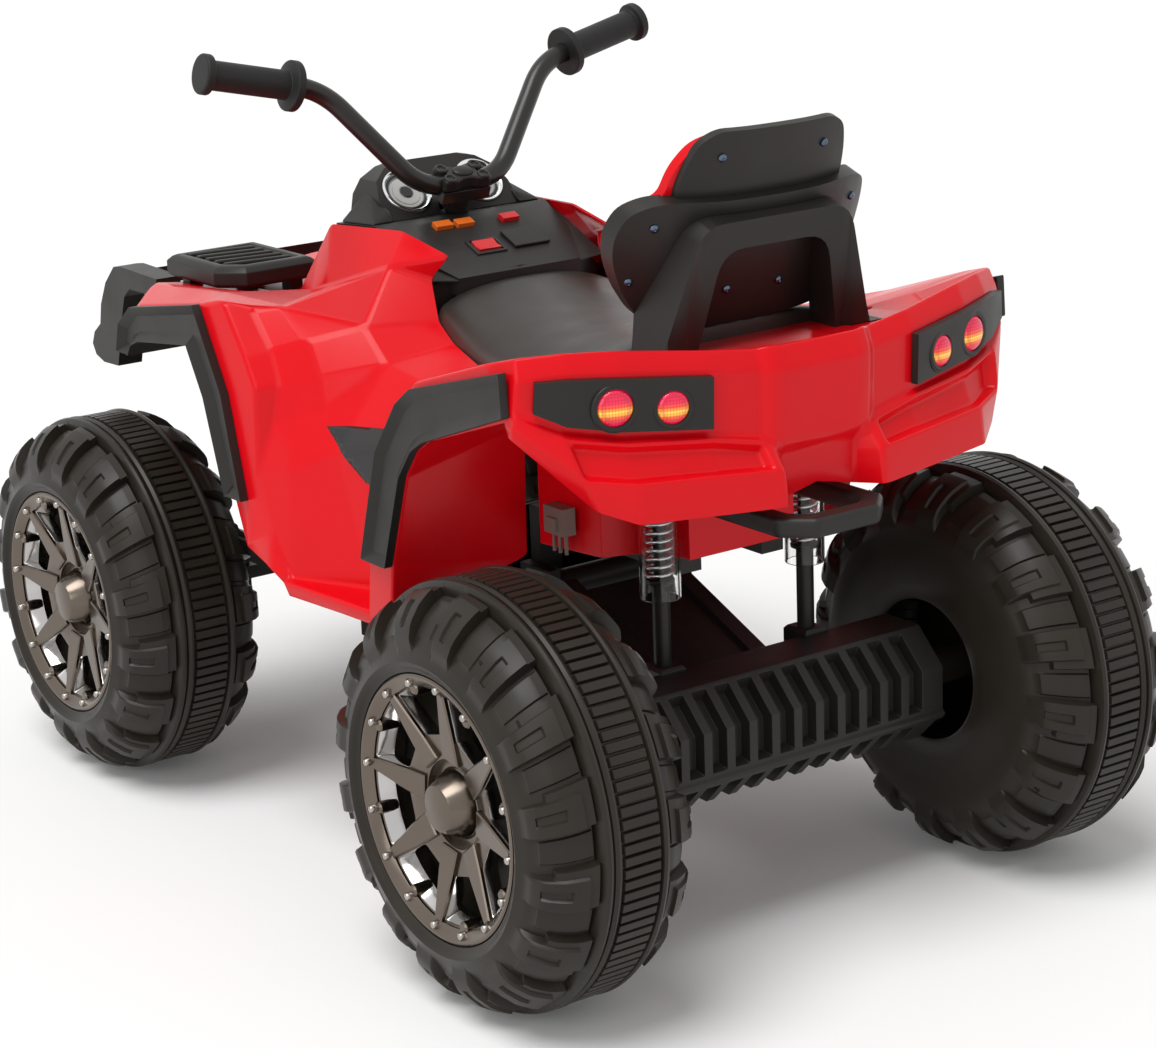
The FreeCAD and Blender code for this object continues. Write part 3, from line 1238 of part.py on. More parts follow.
def biarc(p0, t0, p1, t1):
    """Two tangent arcs from p0 along t0 to p1 along t1."""
    v = p1 - p0
    t = t0 + t1
    spread = 2.0 * (1.0 - t0.dot(t1))
    reach = (-v.dot(t) + math.sqrt(v.dot(t) ** 2 + spread * v.dot(v))) / spread
    joint = (p0 + p1 + (t0 - t1) * reach) * 0.5
    return [arc_from(p0, t0, joint), arc_to(joint, p1, t1)]


def arc_from(start, tangent, end):
    chord = end - start
    normal = chord - tangent * chord.dot(tangent)
    if normal.Length < 1e-6:
        return Part.LineSegment(start, end).toShape()
    normal.normalize()
    radius = chord.dot(chord) / (2.0 * chord.dot(normal))
    centre = start + normal * radius
    middle = ((start - centre) + (end - centre)).normalize() * radius
    return Part.Arc(start, centre + middle, end).toShape()


def arc_to(start, end, tangent):
    edge = arc_from(end, tangent * -1.0, start)
    first = edge.FirstParameter
    last = edge.LastParameter
    points = [edge.valueAt(first), edge.valueAt(0.5 * (first + last)), edge.valueAt(last)]
    if (points[0] - start).Length > (points[2] - start).Length:
        points.reverse()
    if isinstance(edge.Curve, Part.Line):
        return Part.LineSegment(start, end).toShape()
    return Part.Arc(start, points[1], end).toShape()


def spring_point(turn, rise, low):
    angle = 2.0 * math.pi * turn
    return Vec(SPRING_RADIUS * math.cos(angle), SPRING_RADIUS * math.sin(angle), low + rise * turn)


def spring_tangent(turn, rise):
    angle = 2.0 * math.pi * turn
    run = 2.0 * math.pi * SPRING_RADIUS
    return Vec(-run * math.sin(angle), run * math.cos(angle), rise).normalize()


def spring_path():
    """A helix of half turn biarcs whose ends bend down and up, square to the two seats."""
    lead = 3.0 * SPRING_WIRE
    low = SPRING_SEAT_Z + SPRING_WIRE + lead
    high = SPRING_TOP_Z - SPRING_WIRE - lead
    rise = (high - low) / SPRING_TURNS
    steps = [index / 2.0 for index in range(2 * SPRING_TURNS + 1)]
    edges = []
    first = spring_point(0, rise, low)
    swing = spring_tangent(0, rise) * lead
    foot = first - Vec(swing.x, swing.y, 0) - Vec(0, 0, lead)
    edges.append(Part.LineSegment(Vec(foot.x, foot.y, SPRING_SEAT_Z), foot).toShape())
    edges += biarc(foot, Vec(0, 0, 1), first, spring_tangent(0, rise))
    for a, b in zip(steps, steps[1:]):
        edges += biarc(spring_point(a, rise, low), spring_tangent(a, rise),
                       spring_point(b, rise, low), spring_tangent(b, rise))
    last = spring_point(SPRING_TURNS, rise, low)
    swing = spring_tangent(SPRING_TURNS, rise) * lead
    head = last + Vec(swing.x, swing.y, 0) + Vec(0, 0, lead)
    edges += biarc(last, spring_tangent(SPRING_TURNS, rise), head, Vec(0, 0, 1))
    edges.append(Part.LineSegment(head, Vec(head.x, head.y, SPRING_TOP_Z)).toShape())
    return edges


def least_gap(edges, skip):
    """The least clear gap between points of the wire that are more than half a turn apart."""
    points = []
    for edge in edges:
        points += edge.discretize(12)[:-1]
    best = None
    for i in range(0, len(points), 2):
        for j in range(i + skip, len(points), 2):
            gap = (points[i] - points[j]).Length - SPRING_WIRE
            best = gap if best is None else min(best, gap)
    return best


def make_springs():
    edges = spring_path()
    print("spring: least gap to itself %.2f mm" % least_gap(edges, 26))
    spring = swept(Part.Wire(edges), SPRING_WIRE / 2.0)
    left = moved(spring, SPRING_X, SPRING_Y, 0)
    add("springs", left, mirrored(left))
    tube = cylinder_z(TUBE_OUTER, TUBE_BOTTOM, SPRING_TOP_Z, SPRING_X, SPRING_Y)
    bore = TUBE_OUTER - TUBE_WALL
    tube = tube.cut(cylinder_z(bore, TUBE_BOTTOM - 1, SPRING_TOP_Z + 1, SPRING_X, SPRING_Y))
    add("spring_tubes", tube, mirrored(tube))


# Dashboard, drawn flat in its own sloping frame where it carries switches

DASH_REAR_X = -22.0
DASH_FLAT_X = 65.0
DASH_FRONT_X = 117.0
ROCKER_PIN = 1.2


def on_dash(shape):
    return placed(shape, Vec(0, 0, DASH_Z), DASH_SLOPE)


def dash_place(x):
    return x / math.cos(math.radians(DASH_SLOPE))


def button_hole(s, y, half_s, half_y):
    return on_dash(box(s - half_s, s + half_s, y - half_y, y + half_y, -12, 12))


BUTTONS = [("horn_button", 50.0, 30.0), ("music_button", 49.0, 9.0), ("power_button", 47.0, -36.0)]
BUTTON_HALF_S = 4.5
BUTTON_HALF_Y = 8.5
ROCKER_X = 14.0
ROCKER_Y = 10.0
ROCKER_HALF_S = 7.2
ROCKER_HALF_Y = 11.0


def make_dashboard():
    rise = math.tan(math.radians(DASH_SLOPE))
    flat = DASH_Z + DASH_FLAT_X * rise
    left = {
        "d0": (DASH_REAR_X, 62, DASH_Z + DASH_REAR_X * rise), "d1": (22, 82, DASH_Z + 22 * rise),
        "d2": (DASH_FLAT_X, 88, flat), "d3": (DASH_FRONT_X, 95, flat - 2),
    }
    drop = 16.0
    for name in list(left):
        x, y, z = left[name]
        left[name + "f"] = (x, y, z - drop)
    points = dict(left)
    points.update(mirror_points(left))
    faces = []
    for a, b in (("d0", "d1"), ("d1", "d2"), ("d2", "d3")):
        faces.append((a, b, b + "_r", a + "_r"))
        faces.append((a, a + "f", b + "f", b))
        faces.append((a + "_r", b + "_r", b + "f_r", a + "f_r"))
    faces.append(("d0", "d0_r", "d0f_r", "d0f"))
    dash = skin(points, faces, DASH_WALL, (60, 0, 440))
    cuts = [raked(cylinder_z(COLUMN_RADIUS + 1.0, -400, 0, 0, 0))]
    for name, x, y in BUTTONS:
        place = dash_place(x)
        cuts.append(button_hole(place, y, BUTTON_HALF_S + BUTTON_CLEAR, BUTTON_HALF_Y + BUTTON_CLEAR))
    s = dash_place(ROCKER_X)
    cuts.append(button_hole(s, ROCKER_Y, ROCKER_HALF_S + 0.9, ROCKER_HALF_Y + BUTTON_CLEAR))
    pin_hole = cylinder_y(ROCKER_PIN + RUN_CLEAR, ROCKER_Y - ROCKER_HALF_Y - 3.2,
                          ROCKER_Y + ROCKER_HALF_Y + 3.2, s, -2.0)
    cuts.append(on_dash(pin_hole))
    add("dashboard", dash.cut(Part.makeCompound(cuts)))


def make_controls():
    for name, x, y in BUTTONS:
        s = dash_place(x)
        cap = box(s - BUTTON_HALF_S, s + BUTTON_HALF_S, y - BUTTON_HALF_Y, y + BUTTON_HALF_Y, -9, 4)
        flange = box(s - BUTTON_HALF_S - 2, s + BUTTON_HALF_S + 2, y - BUTTON_HALF_Y - 2,
                     y + BUTTON_HALF_Y + 2, -8, -DASH_WALL - SEAT_GAP)
        add(name, on_dash(joined([cap, flange])))
    s = dash_place(ROCKER_X)
    rocker = prism_xz([(s - ROCKER_HALF_S, -7), (s + ROCKER_HALF_S, -7), (s + ROCKER_HALF_S, 3.0),
                       (s, 1.6), (s - ROCKER_HALF_S, 3.0)],
                      ROCKER_Y - ROCKER_HALF_Y, ROCKER_Y + ROCKER_HALF_Y)
    pin = cylinder_y(ROCKER_PIN, ROCKER_Y - ROCKER_HALF_Y - 3.0, ROCKER_Y + ROCKER_HALF_Y + 3.0, s, -2.0)
    add("rocker_switch", on_dash(joined([rocker, pin])))
    s = dash_place(17.0)
    add("media_panel", on_dash(box(s - 13, s + 13, -50, -14, SEAT_GAP, 3.0)))


POD_FACE_LOW = (74.0, 519.0)
POD_FACE_HIGH = (116.0, 562.0)
POD_HALF = 67.0
POD_ARCH = [(67, 510), (67, 536), (61, 549), (47, 558), (24, 563)]
GAUGE_RADIUS = 23.0
GAUGE_Y = 37.0
GAUGE_RECESS = 5.0


def make_instruments():
    floor = DASH_Z + DASH_FLAT_X * math.tan(math.radians(DASH_SLOPE)) + SEAT_GAP
    outline = [(POD_FACE_LOW[0], floor), POD_FACE_HIGH, (127, 560), (139, floor)]
    block = prism_xz(outline, -POD_HALF, POD_HALF).common(prism_yz(mirror_outline(POD_ARCH), 60, 150))
    neck_room = raked(cylinder_z(NECK_RADIUS + 1.5, -60, 40, 0, 0))
    sweep = math.hypot(CLAMP_HALF, CLAMP_DEPTH) + 1.0
    clamp_room = raked(cylinder_z(sweep, CLAMP_LOW - 1.0, 40, 0, 0))
    middle = Vec(0.5 * (POD_FACE_LOW[0] + POD_FACE_HIGH[0]), 0, 0.5 * (POD_FACE_LOW[1] + POD_FACE_HIGH[1]))
    face = Vec(POD_FACE_HIGH[0] - POD_FACE_LOW[0], 0, POD_FACE_HIGH[1] - POD_FACE_LOW[1]).normalize()
    normal = Vec(-face.z, 0, face.x)
    recesses = []
    gauges = []
    for side in (-1, 1):
        centre = middle - face * 2.5 + Vec(0, side * GAUGE_Y, 0)
        back = centre - normal * GAUGE_RECESS
        recesses.append(Part.makeCylinder(GAUGE_RADIUS + SEAT_GAP, 3 * GAUGE_RECESS, back, normal))
        dial = Part.makeCylinder(GAUGE_RADIUS, GAUGE_RECESS - 2.0, back, normal)
        ring = Part.makeCylinder(GAUGE_RADIUS, GAUGE_RECESS + 2.0, back, normal)
        ring = ring.cut(Part.makeCylinder(GAUGE_RADIUS - 4.0, 3 * GAUGE_RECESS, back, normal))
        gauges.append(joined([dial, ring]))
    add("instrument_pod", block.cut(Part.makeCompound(recesses)).cut(neck_room).cut(clamp_room))
    add("gauges", *gauges)


def write_parts():
    os.makedirs("parts", exist_ok=True)
    for name, shape in nodes.items():
        if not shape.isValid():
            print("not valid: " + name)
        shape.exportStep("parts/" + name + ".step")
    print("%d nodes written" % len(nodes))


def main():
    make_wheels()
    make_front_panels()
    make_front_trims()
    make_pedal()
    make_hood()
    make_racks()
    make_bumper()
    make_headlights()
    make_rear_body()
    make_rear_trims()
    make_tail_lamps()
    make_seat()
    make_tub()
    make_rear_handle()
    make_motor_plug()
    make_backrest()
    make_steering()
    make_handlebar()
    make_tie_rod()
    make_knuckles()
    make_chassis()
    make_front_beam()
    make_housing()
    make_rear_axle()
    make_swing_arm()
    make_springs()
    make_dashboard()
    make_controls()
    make_instruments()
    write_parts()


main()
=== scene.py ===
import json
import math

import bmesh
import bpy
from mathutils import Matrix, Vector

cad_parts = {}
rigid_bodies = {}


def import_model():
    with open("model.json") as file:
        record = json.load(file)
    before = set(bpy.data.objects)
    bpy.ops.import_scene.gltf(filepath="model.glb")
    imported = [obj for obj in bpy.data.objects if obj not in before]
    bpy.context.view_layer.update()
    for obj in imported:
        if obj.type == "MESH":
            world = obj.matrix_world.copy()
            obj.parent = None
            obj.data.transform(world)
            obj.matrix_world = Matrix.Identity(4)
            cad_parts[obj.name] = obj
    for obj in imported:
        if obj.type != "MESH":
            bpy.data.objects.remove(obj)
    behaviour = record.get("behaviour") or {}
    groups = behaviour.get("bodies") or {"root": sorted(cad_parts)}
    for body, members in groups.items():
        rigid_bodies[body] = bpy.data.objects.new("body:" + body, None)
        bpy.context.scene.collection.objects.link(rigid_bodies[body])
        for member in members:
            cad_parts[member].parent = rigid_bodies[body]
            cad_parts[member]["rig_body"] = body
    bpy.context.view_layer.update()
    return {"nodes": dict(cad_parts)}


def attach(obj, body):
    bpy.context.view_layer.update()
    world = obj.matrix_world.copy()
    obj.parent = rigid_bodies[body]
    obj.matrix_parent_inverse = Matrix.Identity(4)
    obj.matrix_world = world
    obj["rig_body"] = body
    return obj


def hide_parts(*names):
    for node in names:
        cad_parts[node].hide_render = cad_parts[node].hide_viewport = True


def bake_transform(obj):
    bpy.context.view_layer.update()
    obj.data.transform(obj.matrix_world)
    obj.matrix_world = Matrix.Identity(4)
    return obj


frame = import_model()
nodes = frame["nodes"]
scene = bpy.context.scene
scene.view_settings.view_transform = "Standard"

MM = 0.001
PHOTO_WIDTH = 1156
PHOTO_HEIGHT = 1048
SIDES = (("left", 1), ("right", -1))
ALONG_Y = (0.0, 1.0, 0.0)
ALONG_Z = (0.0, 0.0, 1.0)
CIRCLE = 360.0

# Wheels, in millimetres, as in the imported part
WHEEL_RADIUS = 165.0
AXLE_X = 330.0
REAR_Y = 240.0
FRONT_Y = 222.0


# Materials: each is given to the pieces that are made of it

CLOUD_LOW = 0.3
CLOUD_HIGH = 0.7
ROUGH_PATCH = 26.0
GRAIN_DEPTH = 0.0002


def add_node(tree, kind, values=None, **settings):
    """A shader node with its own settings and the values of its sockets."""
    node = tree.nodes.new("ShaderNode" + kind)
    for name, value in settings.items():
        setattr(node, name, value)
    for socket, value in (values or {}).items():
        node.inputs[socket].default_value = value
    return node


def join(tree, source, output, target, socket):
    tree.links.new(source.outputs[output], target.inputs[socket])


def start_material(name, roughness, metal=0.0):
    material = bpy.data.materials.new(name)
    material.use_nodes = True
    tree = material.node_tree
    shader = tree.nodes["Principled BSDF"]
    shader.inputs["Roughness"].default_value = roughness
    shader.inputs["Metallic"].default_value = metal
    return material, tree, shader


def noise(tree, scale, detail):
    cloud = add_node(tree, "TexNoise", {"Scale": scale, "Detail": detail})
    join(tree, add_node(tree, "TexCoord"), "Object", cloud, "Vector")
    return cloud


def colour_ramp(tree, first, last, middle=()):
    """A colour ramp whose stops are (position, colour)."""
    node = add_node(tree, "ValToRGB")
    stops = node.color_ramp.elements
    for index, (position, colour) in enumerate((first, last)):
        stops[index].position = position
        stops[index].color = colour
    for position, colour in middle:
        stops.new(position).color = colour
    return node


def tinted(colour, factor):
    return tuple(min(1.0, channel * factor) for channel in colour) + (1.0,)


def mottle(tree, shader, colour, spread, scale):
    """Colour that drifts a little darker and lighter over the surface."""
    darker = (CLOUD_LOW, tinted(colour, 1.0 - spread))
    lighter = (CLOUD_HIGH, tinted(colour, 1.0 + spread))
    tones = colour_ramp(tree, darker, lighter)
    join(tree, noise(tree, scale, 3.0), "Fac", tones, "Fac")
    join(tree, tones, "Color", shader, "Base Color")


def vary_roughness(tree, shader, roughness, spread):
    span = add_node(tree, "MapRange", {"From Min": CLOUD_LOW, "From Max": CLOUD_HIGH,
                                       "To Min": roughness - spread, "To Max": roughness + spread})
    join(tree, noise(tree, ROUGH_PATCH, 4.0), "Fac", span, "Value")
    join(tree, span, "Result", shader, "Roughness")


def grain(tree, shader, scale, strength):
    bump = add_node(tree, "Bump", {"Strength": strength, "Distance": GRAIN_DEPTH})
    join(tree, noise(tree, scale, 2.0), "Fac", bump, "Height")
    join(tree, bump, "Normal", shader, "Normal")


def plastic(name, colour, roughness, spread=0.08, patch=9.0, grain_scale=700.0, grain_strength=0.1,
            metal=0.0, rough_spread=0.05, specular=0.5):
    material, tree, shader = start_material(name, roughness, metal)
    shader.inputs["Specular IOR Level"].default_value = specular
    mottle(tree, shader, colour, spread, patch)
    vary_roughness(tree, shader, roughness, rough_spread)
    if grain_strength > 0.0:
        grain(tree, shader, grain_scale, grain_strength)
    return material


RED = plastic("red_gloss_plastic", (0.74, 0.0025, 0.0085), 0.24, spread=0.03, grain_scale=60.0,
              grain_strength=0.012, rough_spread=0.03, specular=0.2)
BLACK = plastic("black_moulded_plastic", (0.0162, 0.0149, 0.0131), 0.42, spread=0.15,
                grain_strength=0.14, specular=0.3)
TYRE = plastic("tyre_blown_plastic", (0.0215, 0.018, 0.0135), 0.36, spread=0.16, patch=14.0,
               grain_scale=420.0, grain_strength=0.05, specular=0.24)
SADDLE = plastic("saddle_plastic", (0.0235, 0.0192, 0.0152), 0.38, spread=0.14,
                 grain_scale=900.0, grain_strength=0.12, specular=0.4)
GRIP = plastic("grip_rubber", (0.0125, 0.0122, 0.012), 0.55, spread=0.12, grain_scale=800.0,
               grain_strength=0.2, specular=0.3)
BLACK_STEEL = plastic("black_painted_steel", (0.0135, 0.0125, 0.0115), 0.3, spread=0.12,
                      grain_strength=0.05, specular=0.4)
BRIGHT_STEEL = plastic("zinc_steel", (0.66, 0.67, 0.7), 0.26, metal=1.0, grain_strength=0.05)
GUNMETAL = plastic("gunmetal_rim", (0.15, 0.124, 0.102), 0.22, metal=1.0,
                   grain_scale=900.0, grain_strength=0.03)
RIM_BRIGHT = plastic("bright_bolt", (0.4, 0.37, 0.34), 0.2, spread=0.06, metal=1.0,
                     grain_strength=0.03)
# Painted glint: the rim's own metal, made paler and smoother for the steep pocket walls so they show a
# painted reflection of the white studio
RIM_WALL_GLINT = plastic("rim_wall_painted_glint", (0.5, 0.49, 0.48), 0.14, metal=1.0,
                   grain_strength=0.03)
SCREW = plastic("dull_screw", (0.1, 0.14, 0.2), 0.3, spread=0.1, metal=1.0,
                grain_strength=0.05)
CHROME = plastic("chrome_ring", (0.78, 0.79, 0.8), 0.1, spread=0.03, metal=1.0,
                 grain_strength=0.0, rough_spread=0.02)
ORANGE = plastic("orange_button", (0.78, 0.16, 0.012), 0.35, spread=0.06,
                 grain_strength=0.06)
SWITCH_RED = plastic("red_switch", (0.66, 0.012, 0.016), 0.32, spread=0.06, grain_strength=0.06)
# Motor plug: its whitish ivory colour painted much darker, as painted shade of the dark place where it sits
IVORY_SHADED = plastic("ivory_plug_painted_shade", (0.2, 0.15, 0.13), 0.5, spread=0.12, grain_strength=0.08)
LAMP = plastic("headlamp_pale", (0.72, 0.74, 0.76), 0.16, spread=0.05, grain_strength=0.03)
GEARBOX = plastic("gearbox_plastic", (0.05, 0.05, 0.052), 0.45, spread=0.1)
MOTOR = plastic("motor_can", (0.45, 0.45, 0.46), 0.32, metal=1.0)
BATTERY = plastic("battery_case", (0.12, 0.125, 0.13), 0.5)
DECAL = plastic("dark_decal", (0.014, 0.013, 0.013), 0.3, spread=0.1, grain_strength=0.02)


def clear_plastic():
    material, tree, shader = start_material("clear_tube", 0.06)
    mottle(tree, shader, (0.93, 0.93, 0.92), 0.02, 20.0)
    shader.inputs["Transmission Weight"].default_value = 1.0
    shader.inputs["IOR"].default_value = 1.3
    grain(tree, shader, 120.0, 0.03)
    return material


def lens_material():
    """Red glass over a lit amber band, broken by a fine grid."""
    material, tree, shader = start_material("lit_lens", 0.12)
    shader.inputs["Emission Strength"].default_value = 0.45
    place = add_node(tree, "TexCoord")
    split = add_node(tree, "SeparateXYZ")
    lift = add_node(tree, "Math", {1: 0.003}, operation="ADD")
    height = add_node(tree, "Math", operation="ABSOLUTE")
    span = add_node(tree, "MapRange", {"From Min": 0.0005, "From Max": 0.0075})
    tones = colour_ramp(tree, (0.0, (1.0, 0.62, 0.07, 1.0)), (1.0, (0.72, 0.012, 0.075, 1.0)),
                        [(0.45, (0.88, 0.1, 0.03, 1.0))])
    grid = add_node(tree, "TexVoronoi", {"Scale": 420.0, "Randomness": 0.0})
    dots = add_node(tree, "MapRange", {"From Min": 0.25, "From Max": 0.6, "To Min": 1.0, "To Max": 0.42})
    mix = add_node(tree, "Mix", {"A": (0.32, 0.004, 0.012, 1.0)}, data_type="RGBA")
    join(tree, place, "Object", split, "Vector")
    join(tree, split, "Z", lift, 0)
    join(tree, lift, 0, height, 0)
    join(tree, height, 0, span, "Value")
    join(tree, span, "Result", tones, "Fac")
    join(tree, place, "Object", grid, "Vector")
    join(tree, grid, "Distance", dots, "Value")
    join(tree, dots, "Result", mix, "Factor")
    join(tree, tones, "Color", mix, "B")
    join(tree, mix, "Result", shader, "Base Color")
    join(tree, mix, "Result", shader, "Emission Color")
    return material


def dial_material():
    """A dark middle in a pale silver band, like a printed dial."""
    material, tree, shader = start_material("dial_silver", 0.22, 0.4)
    rings = add_node(tree, "TexWave", {"Scale": 14.0, "Distortion": 0.0}, wave_type="RINGS",
                     rings_direction="Y")
    tones = colour_ramp(tree, (0.5, (0.03, 0.03, 0.032, 1.0)), (0.72, (0.5, 0.5, 0.48, 1.0)))
    join(tree, add_node(tree, "TexCoord"), "Object", rings, "Vector")
    join(tree, rings, "Fac", tones, "Fac")
    join(tree, tones, "Color", shader, "Base Color")
    return material


CLEAR = clear_plastic()
LENS = lens_material()
DIAL = dial_material()


# Mesh helpers

WELD = 0.00002
SAME_PLANE = math.radians(1.0)


def node_mesh(name):
    """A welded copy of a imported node's mesh with its flat areas joined."""
    bm = bmesh.new()
    bm.from_mesh(nodes[name].data)
    bmesh.ops.remove_doubles(bm, verts=bm.verts, dist=WELD)
    bmesh.ops.dissolve_limit(bm, angle_limit=SAME_PLANE, verts=bm.verts, edges=bm.edges)
    return bm


def outward(bm):
    """The same mesh with every face turned outwards."""
    bmesh.ops.recalc_face_normals(bm, faces=bm.faces)
    return bm


def skin_rings(bm, rings, closed=True):
    """Faces from each ring of vertices to the next, where a ring of one vertex is a tip."""
    for here, there in zip(rings, rings[1:]):
        count = max(len(here), len(there))
        for index in range(count if closed else count - 1):
            after = (index + 1) % count
            corners = [here[index % len(here)], here[after % len(here)], there[after % len(there)],
                       there[index % len(there)]]
            bm.faces.new(list(dict.fromkeys(corners)))


def capped(bm, rings):
    """A closed body through rings of vertices, with a face over each end."""
    skin_rings(bm, rings)
    bm.faces.new(rings[0][::-1])
    bm.faces.new(rings[-1])


def verts_at(bm, places):
    """New vertices at places in millimetres."""
    return [bm.verts.new(Vector(place) * MM) for place in places]


def cut_strips(bm, places, axis):
    """Cuts a sheet across at places along an axis."""
    for place in places:
        everything = bm.verts[:] + bm.edges[:] + bm.faces[:]
        bmesh.ops.bisect_plane(bm, geom=everything, plane_co=Vector(axis) * place, plane_no=axis)


def finished(name, bm, material, flat_angle):
    mesh = bpy.data.meshes.new(name)
    bm.normal_update()
    bm.to_mesh(mesh)
    bm.free()
    mesh.materials.append(material)
    mesh.shade_smooth()
    mesh.set_sharp_from_angle(angle=math.radians(flat_angle))
    return mesh


def show(name, mesh, body, stands_for, place=None):
    """An object that rides on a body."""
    obj = bpy.data.objects.new(name, mesh)
    scene.collection.objects.link(obj)
    if place is not None:
        obj.matrix_world = place
    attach(obj, body)
    if stands_for:
        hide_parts(*stands_for)
    return obj


def piece(name, bm, material, stands_for=(), flat_angle=40.0):
    """A piece on the body of the node that it stands for, or else on the chassis."""
    body = nodes[stands_for[0]]["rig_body"] if stands_for else "chassis"
    return show(name, finished(name, bm, material, flat_angle), body, stands_for)


def round_edges(obj, name, width, segments, angle):
    edge = obj.modifiers.new(name, "BEVEL")
    edge.width = width * MM
    edge.segments = segments
    edge.limit_method = "ANGLE"
    edge.angle_limit = math.radians(angle)
    edge.use_clamp_overlap = True
    return edge


def even_normals(obj):
    obj.modifiers.new("normals", "WEIGHTED_NORMAL").keep_sharp = False


def bevel(obj, width, segments=2, angle=30.0):
    round_edges(obj, "edges", width, segments, angle).miter_outer = "MITER_ARC"
    even_normals(obj)


def mirror_copy(obj, name, stands_for=()):
    """The same piece on the other side of the middle."""
    mesh = obj.data.copy()
    mesh.transform(Matrix.Scale(-1.0, 4, ALONG_Y))
    mesh.flip_normals()
    other = show(name, mesh, "chassis", stands_for)
    for source in obj.modifiers:
        target = other.modifiers.new(source.name, source.type)
        for prop in source.bl_rna.properties:
            if not prop.is_readonly and prop.identifier not in ("name", "type"):
                setattr(target, prop.identifier, getattr(source, prop.identifier))


def bevelled_pair(name, bm, material, width, segments, stands_for=()):
    """A piece on the left with rounded edges, and its mirror on the right."""
    left = piece(name + "_left", bm, material, stands_for)
    bevel(left, width, segments)
    mirror_copy(left, name + "_right", stands_for)


# Outlines, turned and swept bodies

def polar(radius, degrees):
    turn = math.radians(degrees)
    return radius * math.cos(turn), radius * math.sin(turn)


def arc(radius, start, end, steps):
    return [polar(radius, start + (end - start) * step / steps) for step in range(steps + 1)]


def circle(radius, steps):
    return arc(radius, 0.0, CIRCLE, steps)[:-1]


def rectangle(half):
    return [(-half[0], -half[1]), (half[0], -half[1]), (half[0], half[1]), (-half[0], half[1])]


def corner_curve(before, here, after, reach, steps):
    """Places on a curve that rounds the corner at here."""
    start = here + (before - here).normalized() * reach
    end = here + (after - here).normalized() * reach
    shares = [step / steps for step in range(steps + 1)]
    return [(1 - t) ** 2 * start + 2 * t * (1 - t) * here + t * t * end for t in shares]


def rounded_outline(corners, radius, steps):
    """A closed outline with each corner replaced by a small curve."""
    places = [Vector(corner) for corner in corners]
    result = []
    for before, here, after in zip(places[-1:] + places, places, places[1:] + places[:1]):
        reach = min(radius, 0.45 * (before - here).length, 0.45 * (after - here).length)
        result += [tuple(place) for place in corner_curve(before, here, after, reach, steps)]
    return result


def rounded_path(corners, reach, steps):
    """A path in space with each inner corner replaced by a curve."""
    places = [Vector(corner) for corner in corners]
    path = places[:1]
    for before, here, after in zip(places, places[1:], places[2:]):
        path += corner_curve(before, here, after, reach, steps)
    return path + places[-1:]


def motion_to(place, axis=ALONG_Y):
    """The motion that takes the Y axis to a place, in millimetres, and onto an axis there."""
    turn = Vector(ALONG_Y).rotation_difference(Vector(axis).normalized())
    return Matrix.Translation(Vector(place) * MM) @ turn.to_matrix().to_4x4()


def turned(profile, steps, bm=None, motion=Matrix.Identity(4)):
    """A surface turned about the Y axis from (along, radius) points in millimetres, then moved."""
    bm = bm or bmesh.new()
    rings = []
    for along, radius in profile:
        places = circle(radius, steps) if radius > 0.0 else [(0.0, 0.0)]
        rings.append([bm.verts.new(motion @ (Vector((x, along, z)) * MM)) for x, z in places])
    skin_rings(bm, rings)
    return bm


def swept(path, radius, sides):
    """A round tube with closed ends along a path in millimetres."""
    bm = bmesh.new()
    rings = []
    across = None
    for index, here in enumerate(path):
        ahead = path[min(index + 1, len(path) - 1)] - path[max(index - 1, 0)]
        ahead.normalize()
        if across is None:
            across = ahead.orthogonal().normalized()
        across = (across - ahead * across.dot(ahead)).normalized()
        other = ahead.cross(across)
        ring = [here + x * across + y * other for x, y in circle(radius, sides)]
        rings.append(verts_at(bm, ring))
    capped(bm, rings)
    return bm


def drawn_in(outline, amount):
    """The outline moved inwards by the same amount along every side."""
    places = [Vector(place) for place in outline]
    result = []
    for last, here, following in zip(places[-1:] + places, places, places[1:] + places[:1]):
        before = (here - last).normalized()
        after = (following - here).normalized()
        first = Vector((before.y, -before.x))
        second = Vector((after.y, -after.x))
        middle = (first + second).normalized()
        result.append(here + middle * amount / max(0.3, middle.dot(first)))
    return result


def stacked(bm, outline, levels):
    """A closed body of drawn in outlines stacked along Z, levels as (height, draw)."""
    loops = []
    for height, draw in levels:
        loops.append([bm.verts.new((x * MM, y * MM, height * MM)) for x, y in drawn_in(outline, draw)])
    capped(bm, loops)


# Tyres: one mesh from sections at angles that follow the edges of the lugs. Lug measures are shares: around
# is a share of one lug's pitch, across is a share of the way from the ridged band to the bead.

LUG_COUNT = 16
BARS_PER_LUG = 7
LUG_SHARE = 0.54
LUG_EDGE = 0.011
LUG_LEAN = 3.2
LUG_FADE = (0.86, 0.94)
TERRACE = 0.26
PAD_PLATE = 0.16
NOTCH_START = 0.62
NOTCH_DEEP = 0.1
STEP_AROUND = 0.12
STEP_ACROSS = 0.2
HOOK_AROUND = (0.26, 0.38)
HOOK_ACROSS = (0.42, 0.78)
PLATE_AROUND = (LUG_SHARE + 0.07, 0.93)
PLATE_ACROSS = (0.07, HOOK_ACROSS[1])
GROOVE = (0.012, 0.045)
GROOVE_DEPTH = 0.45
EDGE_ACROSS = 0.008
OTHER_SIDE = 0.5
CLOSEST_STOPS = 0.002

